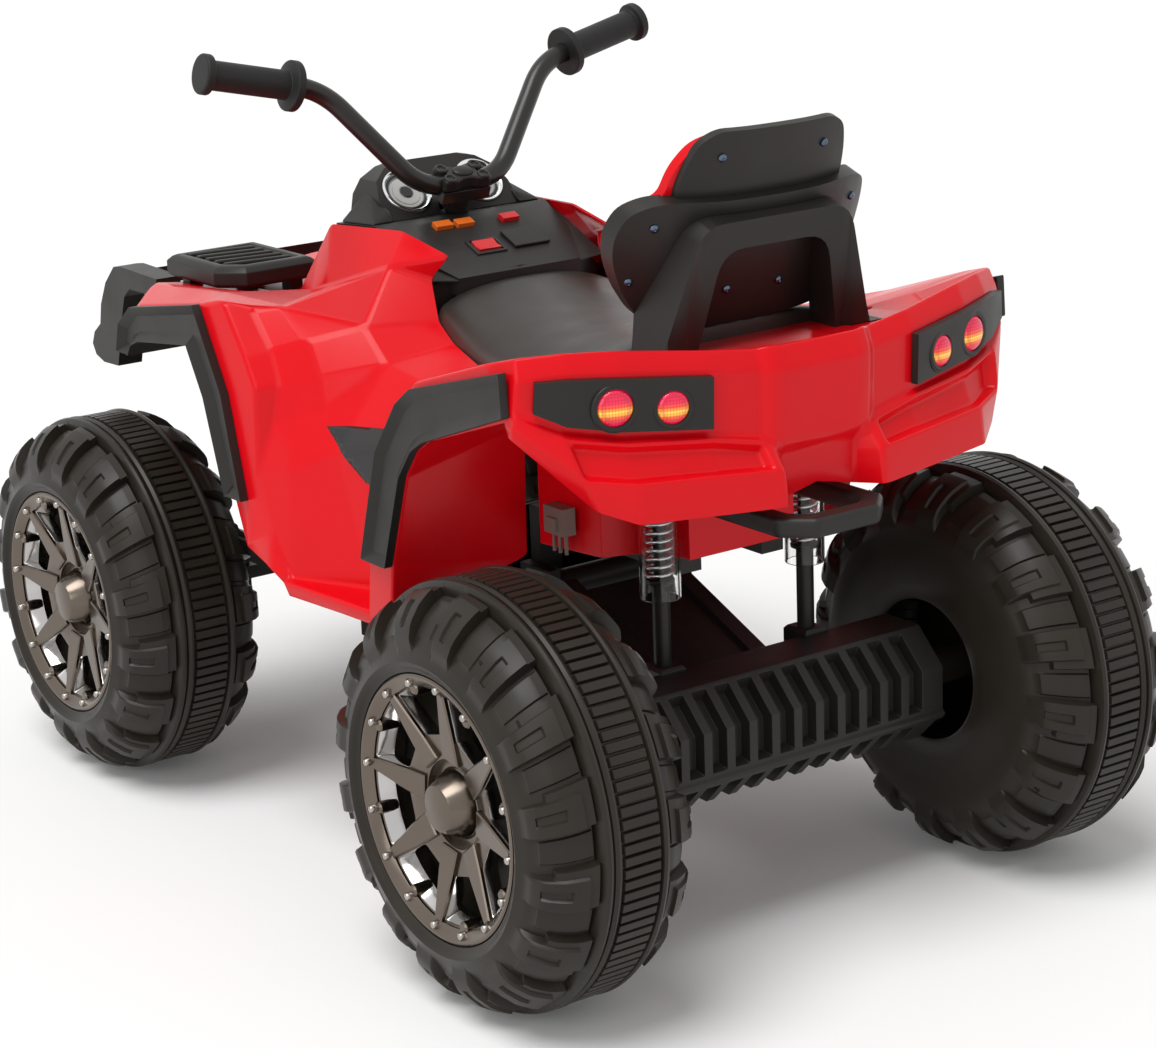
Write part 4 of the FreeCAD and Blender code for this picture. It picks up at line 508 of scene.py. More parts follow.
# Pad and lug tops as (across, along the axle, radius)
PAD_LINE = [(0.0, 29.0, 153.5), (0.25, 40.0, 150.0), (0.5, 51.0, 143.0), (0.75, 61.0, 132.0),
            (0.9, 66.5, 121.5), (1.0, 68.8, 115.0)]
LUG_LINE = [(0.0, 29.0, 162.8), (0.25, 41.5, 159.8), (0.5, 53.5, 152.4), (0.75, 64.5, 140.2),
            (0.9, 69.0, 126.5), (1.0, 69.5, 118.0)]
SIDE_STOPS = [0.0, *GROOVE, 0.062, 0.078, 0.13, STEP_ACROSS - EDGE_ACROSS, STEP_ACROSS + EDGE_ACROSS, 0.3,
              HOOK_ACROSS[0] - EDGE_ACROSS, HOOK_ACROSS[0] + EDGE_ACROSS, 0.52, NOTCH_START,
              NOTCH_START + 0.012, 0.7, HOOK_ACROSS[1] - EDGE_ACROSS, HOOK_ACROSS[1] + EDGE_ACROSS,
              LUG_FADE[0], 0.89, 0.92, 0.95, 1.0]

# Ridged band: rails are (middle, half width) along the axle, the bars lie between them
RAILS = [(24.6, 3.4), (17.2, 3.4), (-24.4, 3.4)]
RAIL_TOP = WHEEL_RADIUS - 0.4
RAIL_ROUND = 2.4
BAND_FLOOR = WHEEL_RADIUS - 4.6
BAR_RISE = 3.4
BAR_SPAN = (-19.4, 12.4)
BAR_END = 0.5
BAR_AROUND = (0.1, 0.86)
BAR_EDGE = 0.04
BAND_STOPS = [28.0, 27.0, 24.6, 22.2, 21.2, 20.8, 20.0, 17.2, 14.4, 13.6, 12.9, 11.9, -4.0, -18.9, -19.9,
              -20.9, -22.0, -24.4, -27.0, -28.0]

# Beads as (along the axle, radius); the web is a closed section of the rim's well, web and hub tube
OUTER_BEAD = [(70.0, 112.0), (69.2, 109.6), (67.6, 107.6), (65.8, 105.6), (65.2, 103.3), (63.0, 103.2)]
INNER_BEAD = [(70.0, 100.0), (70.0, 88.0), (70.0, 74.0), (69.5, 62.0), (68.0, 59.0), (66.0, 58.5),
              (66.0, 70.0), (66.0, 110.0)]
WEB_SECTION = [(22.0, 107.0), (64.0, 107.0), (64.0, 103.1), (26.0, 103.1), (26.0, 16.0), (32.0, 16.0),
               (32.0, 6.1), (-65.6, 6.1), (-65.6, 16.0), (22.0, 16.0), (22.0, 107.0)]
WEB_STEPS = 96
SEAM_WELD = 0.001 * MM


def ramp(low, high, value):
    """0 up to low, 1 from high on, and even in between."""
    return max(0.0, min(1.0, (value - low) / (high - low)))


def smoothstep(low, high, value):
    share = ramp(low, high, value)
    return share * share * (3.0 - 2.0 * share)


def inside(span, edge, value):
    """1 between the two ends of a span, 0 outside, with short ramps."""
    return ramp(span[0] - edge, span[0] + edge, value) * (1.0 - ramp(span[1] - edge, span[1] + edge, value))


def curve_at(points, share):
    """A place on a polyline given as (share, along, radius)."""
    for (s0, y0, r0), (s1, y1, r1) in zip(points, points[1:]):
        if share <= s1:
            t = (share - s0) / (s1 - s0)
            return y0 + t * (y1 - y0), r0 + t * (r1 - r0)
    return points[-1][1:]


def lug_height(around, across):
    """How far a place stands between the pad (0) and the lug top (1), with the lug's terrace and pocket."""
    first = NOTCH_DEEP if across > NOTCH_START else 0.0
    rise = inside((first, LUG_SHARE), LUG_EDGE, around)
    if first == 0.0:
        rise = max(rise, ramp(1.0 - LUG_EDGE, 1.0 + LUG_EDGE, around))
    height = rise * (1.0 - smoothstep(*LUG_FADE, across))
    low = 1.0 - ramp(STEP_AROUND - LUG_EDGE, STEP_AROUND + LUG_EDGE, around)
    low = max(low, 1.0 - ramp(STEP_ACROSS - EDGE_ACROSS, STEP_ACROSS + EDGE_ACROSS, across))
    pocket = inside(HOOK_AROUND, LUG_EDGE, around) * inside(HOOK_ACROSS, EDGE_ACROSS, across)
    plate = inside(PLATE_AROUND, LUG_EDGE, around) * inside(PLATE_ACROSS, EDGE_ACROSS, across)
    height = max(height * (1.0 - TERRACE * max(low, pocket)), PAD_PLATE * plate)
    return height - GROOVE_DEPTH * (1.0 - ramp(*GROOVE, across))


def band_radius(around, along):
    bar = (around * BARS_PER_LUG) % 1.0
    best = BAND_FLOOR + BAR_RISE * inside(BAR_AROUND, BAR_EDGE, bar) * inside(BAR_SPAN, BAR_END, along)
    for middle, half in RAILS:
        off = abs(along - middle) / half
        if off < 1.0:
            best = max(best, RAIL_TOP - RAIL_ROUND * off ** 3)
    return best


def around_stops():
    """Shares of one lug pitch where the pattern has an edge."""
    stops = {0.0, OTHER_SIDE}
    for edge in (0.0, NOTCH_DEEP, STEP_AROUND, *HOOK_AROUND, LUG_SHARE, *PLATE_AROUND):
        for shift in (0.0, OTHER_SIDE):
            for side in (-LUG_EDGE, LUG_EDGE):
                stops.add(round((edge + shift + side) % 1.0, 4))
    for bar in range(BARS_PER_LUG):
        for edge in BAR_AROUND:
            for side in (-BAR_EDGE, BAR_EDGE):
                stops.add(round((bar + edge + side) / BARS_PER_LUG, 4))
    kept = []
    for stop in sorted(stops):
        if not kept or stop - kept[-1] > CLOSEST_STOPS:
            kept.append(stop)
    return kept


def tyre_rows(around):
    """The section's (along, radius, lean) points at one angle, from the outer to the inner bead."""
    rows = [(y, r, 1.0) for y, r in reversed(OUTER_BEAD)]
    for side, shift in ((1.0, 0.0), (-1.0, OTHER_SIDE)):
        half = []
        for across in SIDE_STOPS:
            share = lug_height((around + shift) % 1.0, across)
            y0, r0 = curve_at(PAD_LINE, across)
            y1, r1 = curve_at(LUG_LINE, across)
            half.append((side * (y0 + share * (y1 - y0)), r0 + share * (r1 - r0), across))
        if side > 0:
            rows += half[::-1] + [(y, band_radius(around, y), 0.0) for y in BAND_STOPS]
        else:
            rows += half
    return rows + [(-y, r, 1.0) for y, r in INNER_BEAD]


def tyre_mesh():
    bm = bmesh.new()
    stops = around_stops()
    pattern = [tyre_rows(stop) for stop in stops]
    rings = []
    for lug in range(LUG_COUNT):
        for stop, rows in zip(stops, pattern):
            ring = []
            for along, radius, lean in rows:
                x, z = polar(radius, (lug + stop) * CIRCLE / LUG_COUNT + LUG_LEAN * lean)
                ring.append((x, along, z))
            rings.append(verts_at(bm, ring))
    skin_rings(bm, rings + rings[:1], closed=False)
    turned(WEB_SECTION, WEB_STEPS, bm)
    bmesh.ops.remove_doubles(bm, verts=bm.verts, dist=SEAM_WELD)
    return bm


# Rims: eight raised arms on a dished plate, a pocket between each two, drawn in the wheel's plane

ARM_COUNT = 8
ARM_STEP = CIRCLE / ARM_COUNT
ARM_STATIONS = [(34.6, 10.0), (54.0, 9.0), (91.6, 4.4)]
ARM_SUNK = 4.0
ARM_RISE = 3.4
ARM_CHAMFER = 1.1
POCKET_START = 28.5
POCKET_OUT = 91.0
POCKET_IN = 55.0
POCKET_OUT_HALF = 19.0
POCKET_IN_HALF = 12.4
POCKET_ROUND = 2.4
POCKET_DEPTH = 13.0
POCKET_DRAFT = 5.0
DRAFT_REACH = 9.0
FACE_CHAMFER = 1.3
FOLD_MIN = 0.9
WALL_STEEP = 0.6
PLATE_OUT = 92.0
HUB_EDGE = 34.0
PLATE_MARGIN = 0.5
DRAFT_FROM = HUB_EDGE + 1.0
WALLS_FROM = HUB_EDGE + 4.0
WALLS_TO = PLATE_OUT - 0.3
HUB_LEVEL = 48.5
RING_LEVEL = 58.5
RIM_BARREL = [(27.0, 99.0), (44.0, 99.0), (47.0, 91.4), (60.0, 91.4), (61.2, 92.4), (65.6, 98.6),
              (66.0, 99.6), (66.0, 100.8), (65.2, 102.1), (63.4, 102.8), (60.0, 102.9), (27.0, 102.9)]
RIM_HUB = [(34.0, 36.0), (42.5, 36.0), (43.0, 27.6), (44.4, 26.0), (47.0, 25.2), (60.4, 19.0), (62.4, 17.6),
           (63.2, 15.8), (63.2, 0.0)]
RIM_BOSS = [(46.0, 5.2), (60.6, 5.0), (62.0, 3.8), (62.2, 0.0)]
BOSS_REACH = POCKET_OUT - 1.0
BOLT = [(61.0, 3.3), (65.6, 3.1), (66.8, 2.2), (67.2, 0.0)]
BOLT_REACH = 95.0
RIM_TWIST = 2.0 * POCKET_START - 0.5 * CIRCLE


def plate_level(radius):
    """Height of the dished plate at a radius."""
    return HUB_LEVEL + (RING_LEVEL - HUB_LEVEL) * (radius - HUB_EDGE) / (PLATE_OUT - HUB_EDGE)


def axle_distance(place):
    return math.hypot(place.x, place.z) / MM


def closed_loop(bm, outline):
    verts = verts_at(bm, [(x, 0.0, z) for x, z in outline])
    return [bm.edges.new((verts[index - 1], verts[index])) for index in range(len(verts))]


def plate_sheet():
    """The flat plate between ring, hub and pockets."""
    bm = bmesh.new()
    edges = closed_loop(bm, circle(PLATE_OUT, 96))
    edges += closed_loop(bm, circle(HUB_EDGE, 48))
    for index in range(ARM_COUNT):
        middle = POCKET_START + index * ARM_STEP
        pocket = arc(POCKET_OUT, middle - POCKET_OUT_HALF, middle + POCKET_OUT_HALF, 6)
        pocket += [polar(POCKET_IN, middle + POCKET_IN_HALF), polar(POCKET_IN, middle - POCKET_IN_HALF)]
        edges += closed_loop(bm, rounded_outline(pocket, POCKET_ROUND, 2))
    bmesh.ops.triangle_fill(bm, use_beauty=True, edges=edges)
    return bm


def rim_plate():
    """The dished plate: a chamfered face, pocket walls that narrow towards the back, and the back, with a
    paler metal painted on the steep pocket walls as a glint.
    """
    bm = outward(plate_sheet())
    if sum(face.normal.y for face in bm.faces) < 0:
        bmesh.ops.reverse_faces(bm, faces=bm.faces)
    made = bmesh.ops.extrude_face_region(bm, geom=bm.faces[:], use_keep_orig=True)["geom"]
    low = {item for item in made if isinstance(item, bmesh.types.BMVert)}
    for vert in bm.verts:
        reach = axle_distance(vert.co)
        vert.co.y = plate_level(reach) * MM
        if vert not in low:
            continue
        vert.co.y -= POCKET_DEPTH * MM
        if DRAFT_FROM < reach < PLATE_OUT - PLATE_MARGIN:
            shrink = 1.0 - ramp(POCKET_OUT - DRAFT_REACH, POCKET_OUT, reach) * POCKET_DRAFT / POCKET_OUT
            vert.co.x *= shrink
            vert.co.z *= shrink
    outward(bm)
    chamfers = []
    for edge in bm.edges:
        reach = max(axle_distance(vert.co) for vert in edge.verts)
        folded = edge.calc_face_angle(0.0) > FOLD_MIN
        if folded and reach < PLATE_OUT - PLATE_MARGIN and not low & set(edge.verts):
            chamfers.append(edge)
    bmesh.ops.bevel(bm, geom=chamfers, offset=FACE_CHAMFER * MM, segments=2, profile=0.5, affect="EDGES",
                    clamp_overlap=True)
    bm.normal_update()
    # Steep pocket walls take the second material, a painted glint in a paler metal
    for face in bm.faces:
        painted_glint_wall = WALLS_FROM < axle_distance(face.calc_center_median()) < WALLS_TO
        face.material_index = 1 if painted_glint_wall and abs(face.normal.y) < WALL_STEEP else 0
    return bm


def raised_bar(bm, turn):
    """A bar along an arm: stations are (radius, half width), the top is drawn in by a chamfer."""
    outline = ARM_STATIONS + [(radius, -half) for radius, half in reversed(ARM_STATIONS)]
    inner = ARM_STATIONS[0][0]
    outer = ARM_STATIONS[-1][0]
    loops = []
    for height, draw in ((-ARM_SUNK, 0.0), (ARM_RISE - ARM_CHAMFER, 0.0), (ARM_RISE, ARM_CHAMFER)):
        loop = []
        for radius, half in outline:
            near = radius + draw if radius == inner else radius - draw if radius == outer else radius
            side = math.copysign(abs(half) - draw, half)
            x, z = polar(math.hypot(near, side), turn + math.degrees(math.atan2(side, near)))
            loop.append((x, plate_level(near) + height, z))
        loops.append(verts_at(bm, loop))
    skin_rings(bm, loops)
    half = len(ARM_STATIONS)
    skin_rings(bm, [loops[-1][:half], loops[-1][:half - 1:-1]], closed=False)
    bm.faces.new(loops[0])


def rim_mesh():
    bm = rim_plate()
    turned(RIM_BARREL, 120, bm)
    turned(RIM_HUB, 60, bm)
    for index in range(ARM_COUNT):
        middle = POCKET_START + index * ARM_STEP
        raised_bar(bm, middle + 0.5 * ARM_STEP)
        x, z = polar(BOSS_REACH, middle)
        turned(RIM_BOSS, 16, bm, motion_to((x, 0.0, z)))
    return bm


def bolt_mesh():
    bm = bmesh.new()
    for index in range(2 * ARM_COUNT):
        x, z = polar(BOLT_REACH, POCKET_START + 0.5 * index * ARM_STEP)
        turned(BOLT, 12, bm, motion_to((x, 0.0, z)))
    return bm


def make_wheels():
    """The right wheels are turned half round, with rims twisted on the axle to mirror the left ones."""
    tyre = finished("tyre", outward(tyre_mesh()), TYRE, flat_angle=32.0)
    rim = finished("rim", outward(rim_mesh()), GUNMETAL, flat_angle=28.0)
    # The second material paints a glint on the rim's pocket walls
    rim.materials.append(RIM_WALL_GLINT)
    bolts = finished("rim_bolts", outward(bolt_mesh()), RIM_BRIGHT, flat_angle=50.0)
    for end, x, y in (("front", AXLE_X, FRONT_Y), ("rear", -AXLE_X, REAR_Y)):
        for side, sign in SIDES:
            where = end + "_" + side
            body = "wheel_" + where
            place = motion_to((x, sign * y, WHEEL_RADIUS))
            twisted = place
            if side == "right":
                place = place @ Matrix.Rotation(math.pi, 4, "Z")
                twisted = place @ Matrix.Rotation(math.radians(RIM_TWIST), 4, "Y")
            show("tread_" + where, tyre, body, ("tyre_" + where,), place)
            show("alloy_" + where, rim, body, ("rim_" + where,), twisted)
            show("bolts_" + where, bolts, body, (), twisted)


# Moulded red shells: flat facets between corners in millimetres, with rounded folds. A corner is called by
# its row's name and its number in the row.

def strip(first, second, count):
    """Facets between two rows of corners, each begun across the rows."""
    return ["{0}{2} {1}{2} {1}{3} {0}{3}".format(first, second, i, i + 1) for i in range(count)]


def strip_along(first, second, count):
    """Facets between two rows of corners, begun along the first row and so split on the other diagonal."""
    return ["{0}{2} {0}{3} {1}{3} {1}{2}".format(first, second, i, i + 1) for i in range(count)]


SPLIT_X = -131.0
LEDGE_Z = 246.0
# Outer faces of the front and rear fenders
FY = 230.0
RY = 236.0
FOLD_WIDTH = 4.0
FOLD_ANGLE = 5.0
FOLD_SEGMENTS = 3
SHELL_WALL = 3.0
FRONT_ROWS = {
    "heel": [(62, FY, 271), (32, FY, 253), (6, FY - 1, LEDGE_Z)],
    "fold": [(91, FY - 4, 472), (58, FY - 4, 428), (44, FY - 4, 404), (48, FY - 4, 330),
             (32, FY - 5, 284), (14, FY - 10, LEDGE_Z)],
    "nose": [(300, 170, 400), (318, 112, 392), (318, 112, 440)],
    "ridge": [(280, 192, 456), (140, 200, 469)],
    "trough": [(76, 206, 463), (48, 205, 432), (34, 207, 406), (36, 214, 372)],
    "blade": [(62, 185, 465), (20, 187, 442), (2, 188, 414), (-6, 190, 390), (14, 213, 354)],
    "crease": [(12, 216, 336), (-30, 195, 358), (SPLIT_X, 168, 378)],
    "ledge": [(-60, 222, LEDGE_Z), (SPLIT_X, 216, LEDGE_Z)],
    "well": [(-60, 186, LEDGE_Z), (SPLIT_X, 167, LEDGE_Z)],
    "skirt": [(6, FY - 3, LEDGE_Z - 12), (-60, 220, LEDGE_Z - 12), (SPLIT_X, 214, LEDGE_Z - 12)],
    "tank": [(162, 110, 447), (110, 112, 464), (14, 108, 494)],
    "crest": [(118, 100, 516), (22, 88, 520), (-44, 85, 507)],
    "saddle": [(-18, 87, 485), (-33, 91, 451), (-70, 101, 440), (SPLIT_X - 4, 121, 436)],
    "flank": [(-8, 148, 452), (-42, 150, 426), (SPLIT_X - 2, 147, 412)],
    "top": [(272, FY, 402), (264, FY, 428), (240, FY, 446), (122, FY, 465), (82, FY, 395), (60, FY, 306)],
    "low": [(254, FY, 402), (246, FY, 414), (230, FY, 421), (136, FY, 432), (110, FY, 388), (84, FY, 306)],
}
FRONT_FACES = [
    "low5 top5 heel0", "top0 nose0 ridge0 top1", "top1 ridge0 top2", "nose0 nose1 nose2 ridge0",
    "top2 ridge0 ridge1 top3", "top3 ridge1 fold0", "top3 fold0 fold1", "top3 fold1 fold2 top4",
    "top4 fold2 fold3 top5", "top5 fold3 fold4 heel0", "heel0 fold4 heel1", "heel1 fold4 fold5 heel2",
    "heel2 fold5 well0 ledge0", "ledge0 well0 well1 ledge1", "heel2 ledge0 skirt1 skirt0",
    "ledge0 ledge1 skirt2 skirt1",
] + strip("fold", "trough", 3) + strip("trough", "blade", 3) + [
    "trough3 blade3 blade4", "trough3 blade4 fold3",
    "ridge1 blade0 trough0 fold0", "ridge0 nose2 tank0 ridge1", "ridge1 tank0 tank1 blade0",
    "blade0 tank1 tank2 flank0", "blade0 flank0 blade1", "blade1 flank0 flank1 blade2",
    "blade2 flank1 blade3", "fold3 blade4 crease0", "fold3 crease0 fold5 fold4",
    "blade4 blade3 crease1 crease0", "blade3 flank1 crease1", "crease0 crease1 well0 fold5",
    "crease1 crease2 well1 well0", "crease1 flank1 flank2 crease2", "tank0 crest0 tank1",
    "tank1 crest0 crest1 tank2", "tank2 crest1 crest2", "tank2 crest2 saddle0",
    "tank2 saddle0 saddle1 flank0", "flank0 saddle1 saddle2 flank1", "flank1 saddle2 saddle3 flank2",
] + strip("low", "top", 5)


def numbered(rows):
    """The corners of rows by their names."""
    return {name + str(index): place for name, places in rows.items() for index, place in enumerate(places)}


def make_shell(name, node, points, faces, core, shape=None):
    """A red shell of facets that face away from its core, with rounded folds and a wall."""
    bm = bmesh.new()
    verts = {}
    for face in faces:
        for corner in face.split():
            if corner not in verts:
                verts[corner] = bm.verts.new(Vector(points[corner]) * MM)
    for face in faces:
        bm.faces.new([verts[corner] for corner in face.split()])
    outward(bm)
    bm.normal_update()
    middle = Vector(core) * MM
    if sum(face.normal.dot(face.calc_center_median() - middle) * face.calc_area() for face in bm.faces) < 0:
        bmesh.ops.reverse_faces(bm, faces=bm.faces)
    bm.normal_update()
    if shape:
        shape(bm, verts)
    shell = piece(name, bm, RED, (node,), flat_angle=180.0)
    round_edges(shell, "folds", FOLD_WIDTH, FOLD_SEGMENTS, FOLD_ANGLE)
    thick = shell.modifiers.new("wall", "SOLIDIFY")
    thick.thickness = SHELL_WALL * MM
    thick.offset = -1.0
    thick.use_even_offset = True
    even_normals(shell)
    return shell


def make_front_panels():
    points = numbered(FRONT_ROWS)
    left = make_shell("front_shell_left", "front_panel_left", points, FRONT_FACES, core=(60, 0, 200))
    mirror_copy(left, "front_shell_right", ("front_panel_right",))
    make_patch(left)


HOOD_ROWS = {
    "rim": [(120, 95, 512), (163, 106, 446.5), (318, 108, 440), (392, 88, 412), (398, 88, 362)],
    "under": [(318, 108, 392)],
    "mid": [(122, 0, 512), (165, 0, 470), (318, 0, 452), (400, 0, 424), (404, 0, 362)],
}
HOOD_FACES = strip_along("rim", "mid", 4) + ["rim2 under0 rim4 rim3"]


def with_mirror(rows, faces, middle):
    """Corners and facets of both sides, where the corners of the middle row are shared."""
    points = numbered(rows)
    other = {name: name if name.startswith(middle) else name + "_r" for name in points}
    both = dict(points)
    for name, (x, y, z) in points.items():
        both[other[name]] = (x, -y, z)
    return both, faces + [" ".join(other[name] for name in reversed(face.split())) for face in faces]


def make_hood():
    points, faces = with_mirror(HOOD_ROWS, HOOD_FACES, "mid")
    make_shell("hood_shell", "hood", points, faces, core=(250, 0, 300))


# Rear body: the tail is a grid of lettered columns from the side to the middle m, and in each the corners run
# down from the deck over the rim, the sill and the brow to the lip and the hem

DECK_Z = 470
TAIL_COLUMNS = "abcdgefm"
TAIL_ROWS = 8
BROW = 5
LIP = 6
REAR_ROWS = {
    "toe": [(-134, 169, 250), (-128, RY - 4, 250), (-163, RY - 4, 250)],
    "wall": [(-136, 171, 300), (-136, 171, 380), (-138, 150, 414), (-139, 124, 438)],
    "top": [(-320, RY, 487)],
    "side": [(-240, 136, 453)],
    "well": [(-188, 118, 290), (-192, 118, 400), (-200, 118, 430)],
    "leg": [(-141, RY, 302), (-172, RY, 395), (-205, RY, 438), (-222, RY, 457)],
    "arch": [(-177, RY, 302), (-205, RY, 380), (-224, RY, 404), (-240, RY, 414), (-342, RY, 447)],
    "a": [(-300, 138, 468), (-316, 176, 476), (-347, RY - 7, 494), (-353, RY - 4, 478),
          (-353, RY - 1, 456), (-354, RY, 449), (-352, RY, 443), (-347, RY, 436)],
    "b": [(-312, 138, DECK_Z), (-336, 168, 473), (-364, 199, 496), (-372, 201, 480), (-369, 203, 439),
          (-377, 206, 434), (-388, 200, 406), (-390, 192, 382)],
    "c": [(-318, 130, DECK_Z), (-354, 148, DECK_Z), (-378, 165, 495), (-387, 165, 478), (-384, 165, 431),
          (-394, 165, 427), (-406, 165, 401), (-408, 167, 371)],
    "d": [(-318, 97, DECK_Z), (-372, 97, DECK_Z), (-395, 97, 487), (-403, 97, 471), (-401, 97, 425),
          (-408, 97, 421), (-419, 97, 398), (-421, 97, 368)],
    "g": [(-318, 54, DECK_Z), (-378, 54, DECK_Z), (-401, 54, 482), (-407, 54, 466), (-406, 54, 417),
          (-412, 54, 412), (-425, 54, 395), (-428, 54, 366)],
    "e": [(-318, 46, DECK_Z), (-378, 46, 472), (-407, 46, 484), (-414, 46, 466), (-412, 46, 412),
          (-416, 46, 404), (-426, 46, 392), (-429, 46, 366)],
    "f": [(-318, 36, DECK_Z), (-378, 36, 472), (-409, 36, 483), (-416, 36, 464), (-412, 36, 408),
          (-407, 36, 400), (-406, 36, 388), (-405, 36, 364)],
    "m": [(-318, 0, DECK_Z), (-378, 0, 472), (-409, 0, 483), (-416, 0, 464), (-412, 0, 408),
          (-407, 0, 400), (-406, 0, 390), (-405, 0, 372)],
}
REAR_FACES = [
    "toe0 toe1 leg0 wall0", *strip("wall", "leg", 3), "toe1 toe2 arch0 leg0", *strip("leg", "arch", 3),
    "leg3 arch3 arch4 top0", "toe2 well0 arch0", *strip("arch", "well", 2),
    "wall3 leg3 side0", "side0 leg3 top0", "side0 top0 a1 a0", "top0 a2 a1", "top0 a3 a2", "top0 a4 a3",
    "top0 a5 a4", "top0 arch4 a5", "arch4 a6 a5", "arch4 a7 a6",
]
POD_COLUMNS = "bcdg"
POD_RIM = 4.0
POD_DEPTH = 9.0


def sink_pods(bm, verts):
    """The panels below the lamps lie deeper than the rims around them."""
    for ending in ("", "_r"):
        panel = []
        for first, second in zip(POD_COLUMNS, POD_COLUMNS[1:]):
            corners = {verts[column + str(row) + ending] for column in (first, second) for row in (BROW, LIP)}
            panel += [face for face in bm.faces if set(face.verts) == corners]
        bmesh.ops.inset_region(bm, faces=panel, thickness=POD_RIM * MM, depth=-POD_DEPTH * MM,
                               use_even_offset=True)


def make_rear_body():
    faces = list(REAR_FACES)
    for first, second in zip(TAIL_COLUMNS, TAIL_COLUMNS[1:]):
        faces += strip_along(first, second, TAIL_ROWS - 1)
    points, faces = with_mirror(REAR_ROWS, faces, "m")
    make_shell("rear_shell", "rear_body", points, faces, core=(-280, 0, 400), shape=sink_pods)


# Dark patch on the left side wall, laid on the shell

PATCH = [(-14, 377), (-92, 384), (-77, 342), (-71, 334), (-62, 337)]
PATCH_FROM_Y = 260.0
PATCH_CUTS_X = range(-90, -14, 5)
PATCH_CUTS_Z = range(336, 384, 5)
PATCH_OFF = 0.3
PATCH_FILM = 0.4


def make_patch(shell):
    bm = bmesh.new()
    bm.faces.new([bm.verts.new((x * MM, PATCH_FROM_Y * MM, z * MM)) for x, z in PATCH])
    cut_strips(bm, [x * MM for x in PATCH_CUTS_X], (1.0, 0.0, 0.0))
    cut_strips(bm, [z * MM for z in PATCH_CUTS_Z], ALONG_Z)
    if bm.faces[:][0].normal.y < 0:
        bmesh.ops.reverse_faces(bm, faces=bm.faces)
    patch = piece("side_patch", bm, DECAL, flat_angle=32.0)
    wrap = patch.modifiers.new("laid_on", "SHRINKWRAP")
    wrap.target = shell
    wrap.wrap_method = "PROJECT"
    wrap.use_project_y = True
    wrap.use_negative_direction = True
    wrap.use_positive_direction = False
    wrap.offset = PATCH_OFF * MM
    thick = patch.modifiers.new("film", "SOLIDIFY")
    thick.thickness = PATCH_FILM * MM
    thick.offset = 1.0


# Backrest: sheets that bend forward at the sides and lean back; outlines are (y, up), those of sheets halves

BACK_PLACE = Vector((-312.0, 0.0, 495.5))
BACK_LEAN = math.radians(20.5)
BACK_FORWARD = Vector((math.cos(BACK_LEAN), 0.0, math.sin(BACK_LEAN)))
BACK_UP = Vector((-math.sin(BACK_LEAN), 0.0, math.cos(BACK_LEAN)))
BACK_CURVE = 250.0
BACK_BEND = 29.0
BACK_BEND_POWER = 2.8
BACK_HALF = 118.0
STRIP = 8.0
SHEET_ANGLE = 40.0
DECK_TOP = 470.8
LOWER_LOBE = [(78, -8), (92, 0), (108, 22), (117, 46), (118, 66), (112, 84), (98, 94), (78, 98)]
UPPER_PANEL = [(80, 90), (76, 120), (68, 142), (54, 151)]
RED_FRONT = [(66, 0), (82, 6), (96, 26), (104, 48), (104, 70), (94, 88), (84, 96), (80, 118), (68, 138),
             (48, 145)]
# Name, outline, its rounding, depths of the rear and front face, material, node, edge width, edge segments
BACK_SHEETS = [
    ("backrest_lobes", LOWER_LOBE, 14.0, (-14.0, 2.0), BLACK, ("backrest_shell",), 6.0, 4),
    ("backrest_panel", UPPER_PANEL, 16.0, (-6.0, 0.5), BLACK, (), 2.2, 3),
    ("backrest_cushion", RED_FRONT, 14.0, (-0.5, 8.0), RED, ("backrest_front",), 2.5, 3),
]
FRAME_ARCH = [(116, -60), (70, 87), (-70, 87), (-116, -60), (-78, -60), (-50, 66), (50, 66), (78, -60)]
FRAME_ROUND = 20.0
FRAME_TOP = 87.0
FRAME_TAPER = 110.0
FRAME_FRONT = -14.3
FRAME_SLIM = 25.0
FRAME_DEEP = 47.0
FRAME_FOOT_UP = -50.0
FRAME_LEG_Y = 100.0
BACK_SCREWS = [(48, 130, -6.0), (94, 76, -14.0), (104, 30, -14.0), (25, 22, -14.0)]
SCREW_HEAD = [(-1.0, 3.4), (1.2, 3.4), (2.2, 2.4), (2.5, 1.2), (1.6, 0.6), (1.6, 0.0)]


def both_sides(half):
    return list(half) + [(-y, up) for y, up in reversed(half)]


def bent_forward(depth, y):
    """How far forward a sheet lies at a distance from the middle: nearly flat there, bent at the lobes."""
    return depth + BACK_BEND * (abs(y) / BACK_HALF) ** BACK_BEND_POWER


def back_place(forward, y, up):
    return (BACK_PLACE + BACK_FORWARD * forward + BACK_UP * up + Vector((0.0, y, 0.0))) * MM


def thick_sheet(outline, rear_place, front_place):
    """A solid from an outline in (y, up), cut into strips so that both faces can be bent."""
    bm = bmesh.new()
    bm.faces.new([bm.verts.new((0.0, y, up)) for y, up in outline])
    reach = int(max(y for y, up in outline) / STRIP)
    cut_strips(bm, [index * STRIP for index in range(-reach, reach + 1)], ALONG_Y)
    sheet = list(bm.faces)
    rims = [edge for edge in bm.edges if edge.is_boundary]
    front = {vert: bm.verts.new(front_place(vert.co.y, vert.co.z)) for vert in list(bm.verts)}
    for face in sheet:
        bm.faces.new([front[vert] for vert in reversed(face.verts)])
    for edge in rims:
        first, second = edge.verts
        bm.faces.new((first, second, front[second], front[first]))
    for vert in front:
        vert.co = rear_place(vert.co.y, vert.co.z)
    return outward(bm)


def bent_sheet(half, rounding, rear, front):
    outline = rounded_outline(both_sides(half), rounding, 4)
    return thick_sheet(outline, lambda y, up: back_place(bent_forward(rear, y), y, up),
                       lambda y, up: back_place(bent_forward(front, y), y, up))


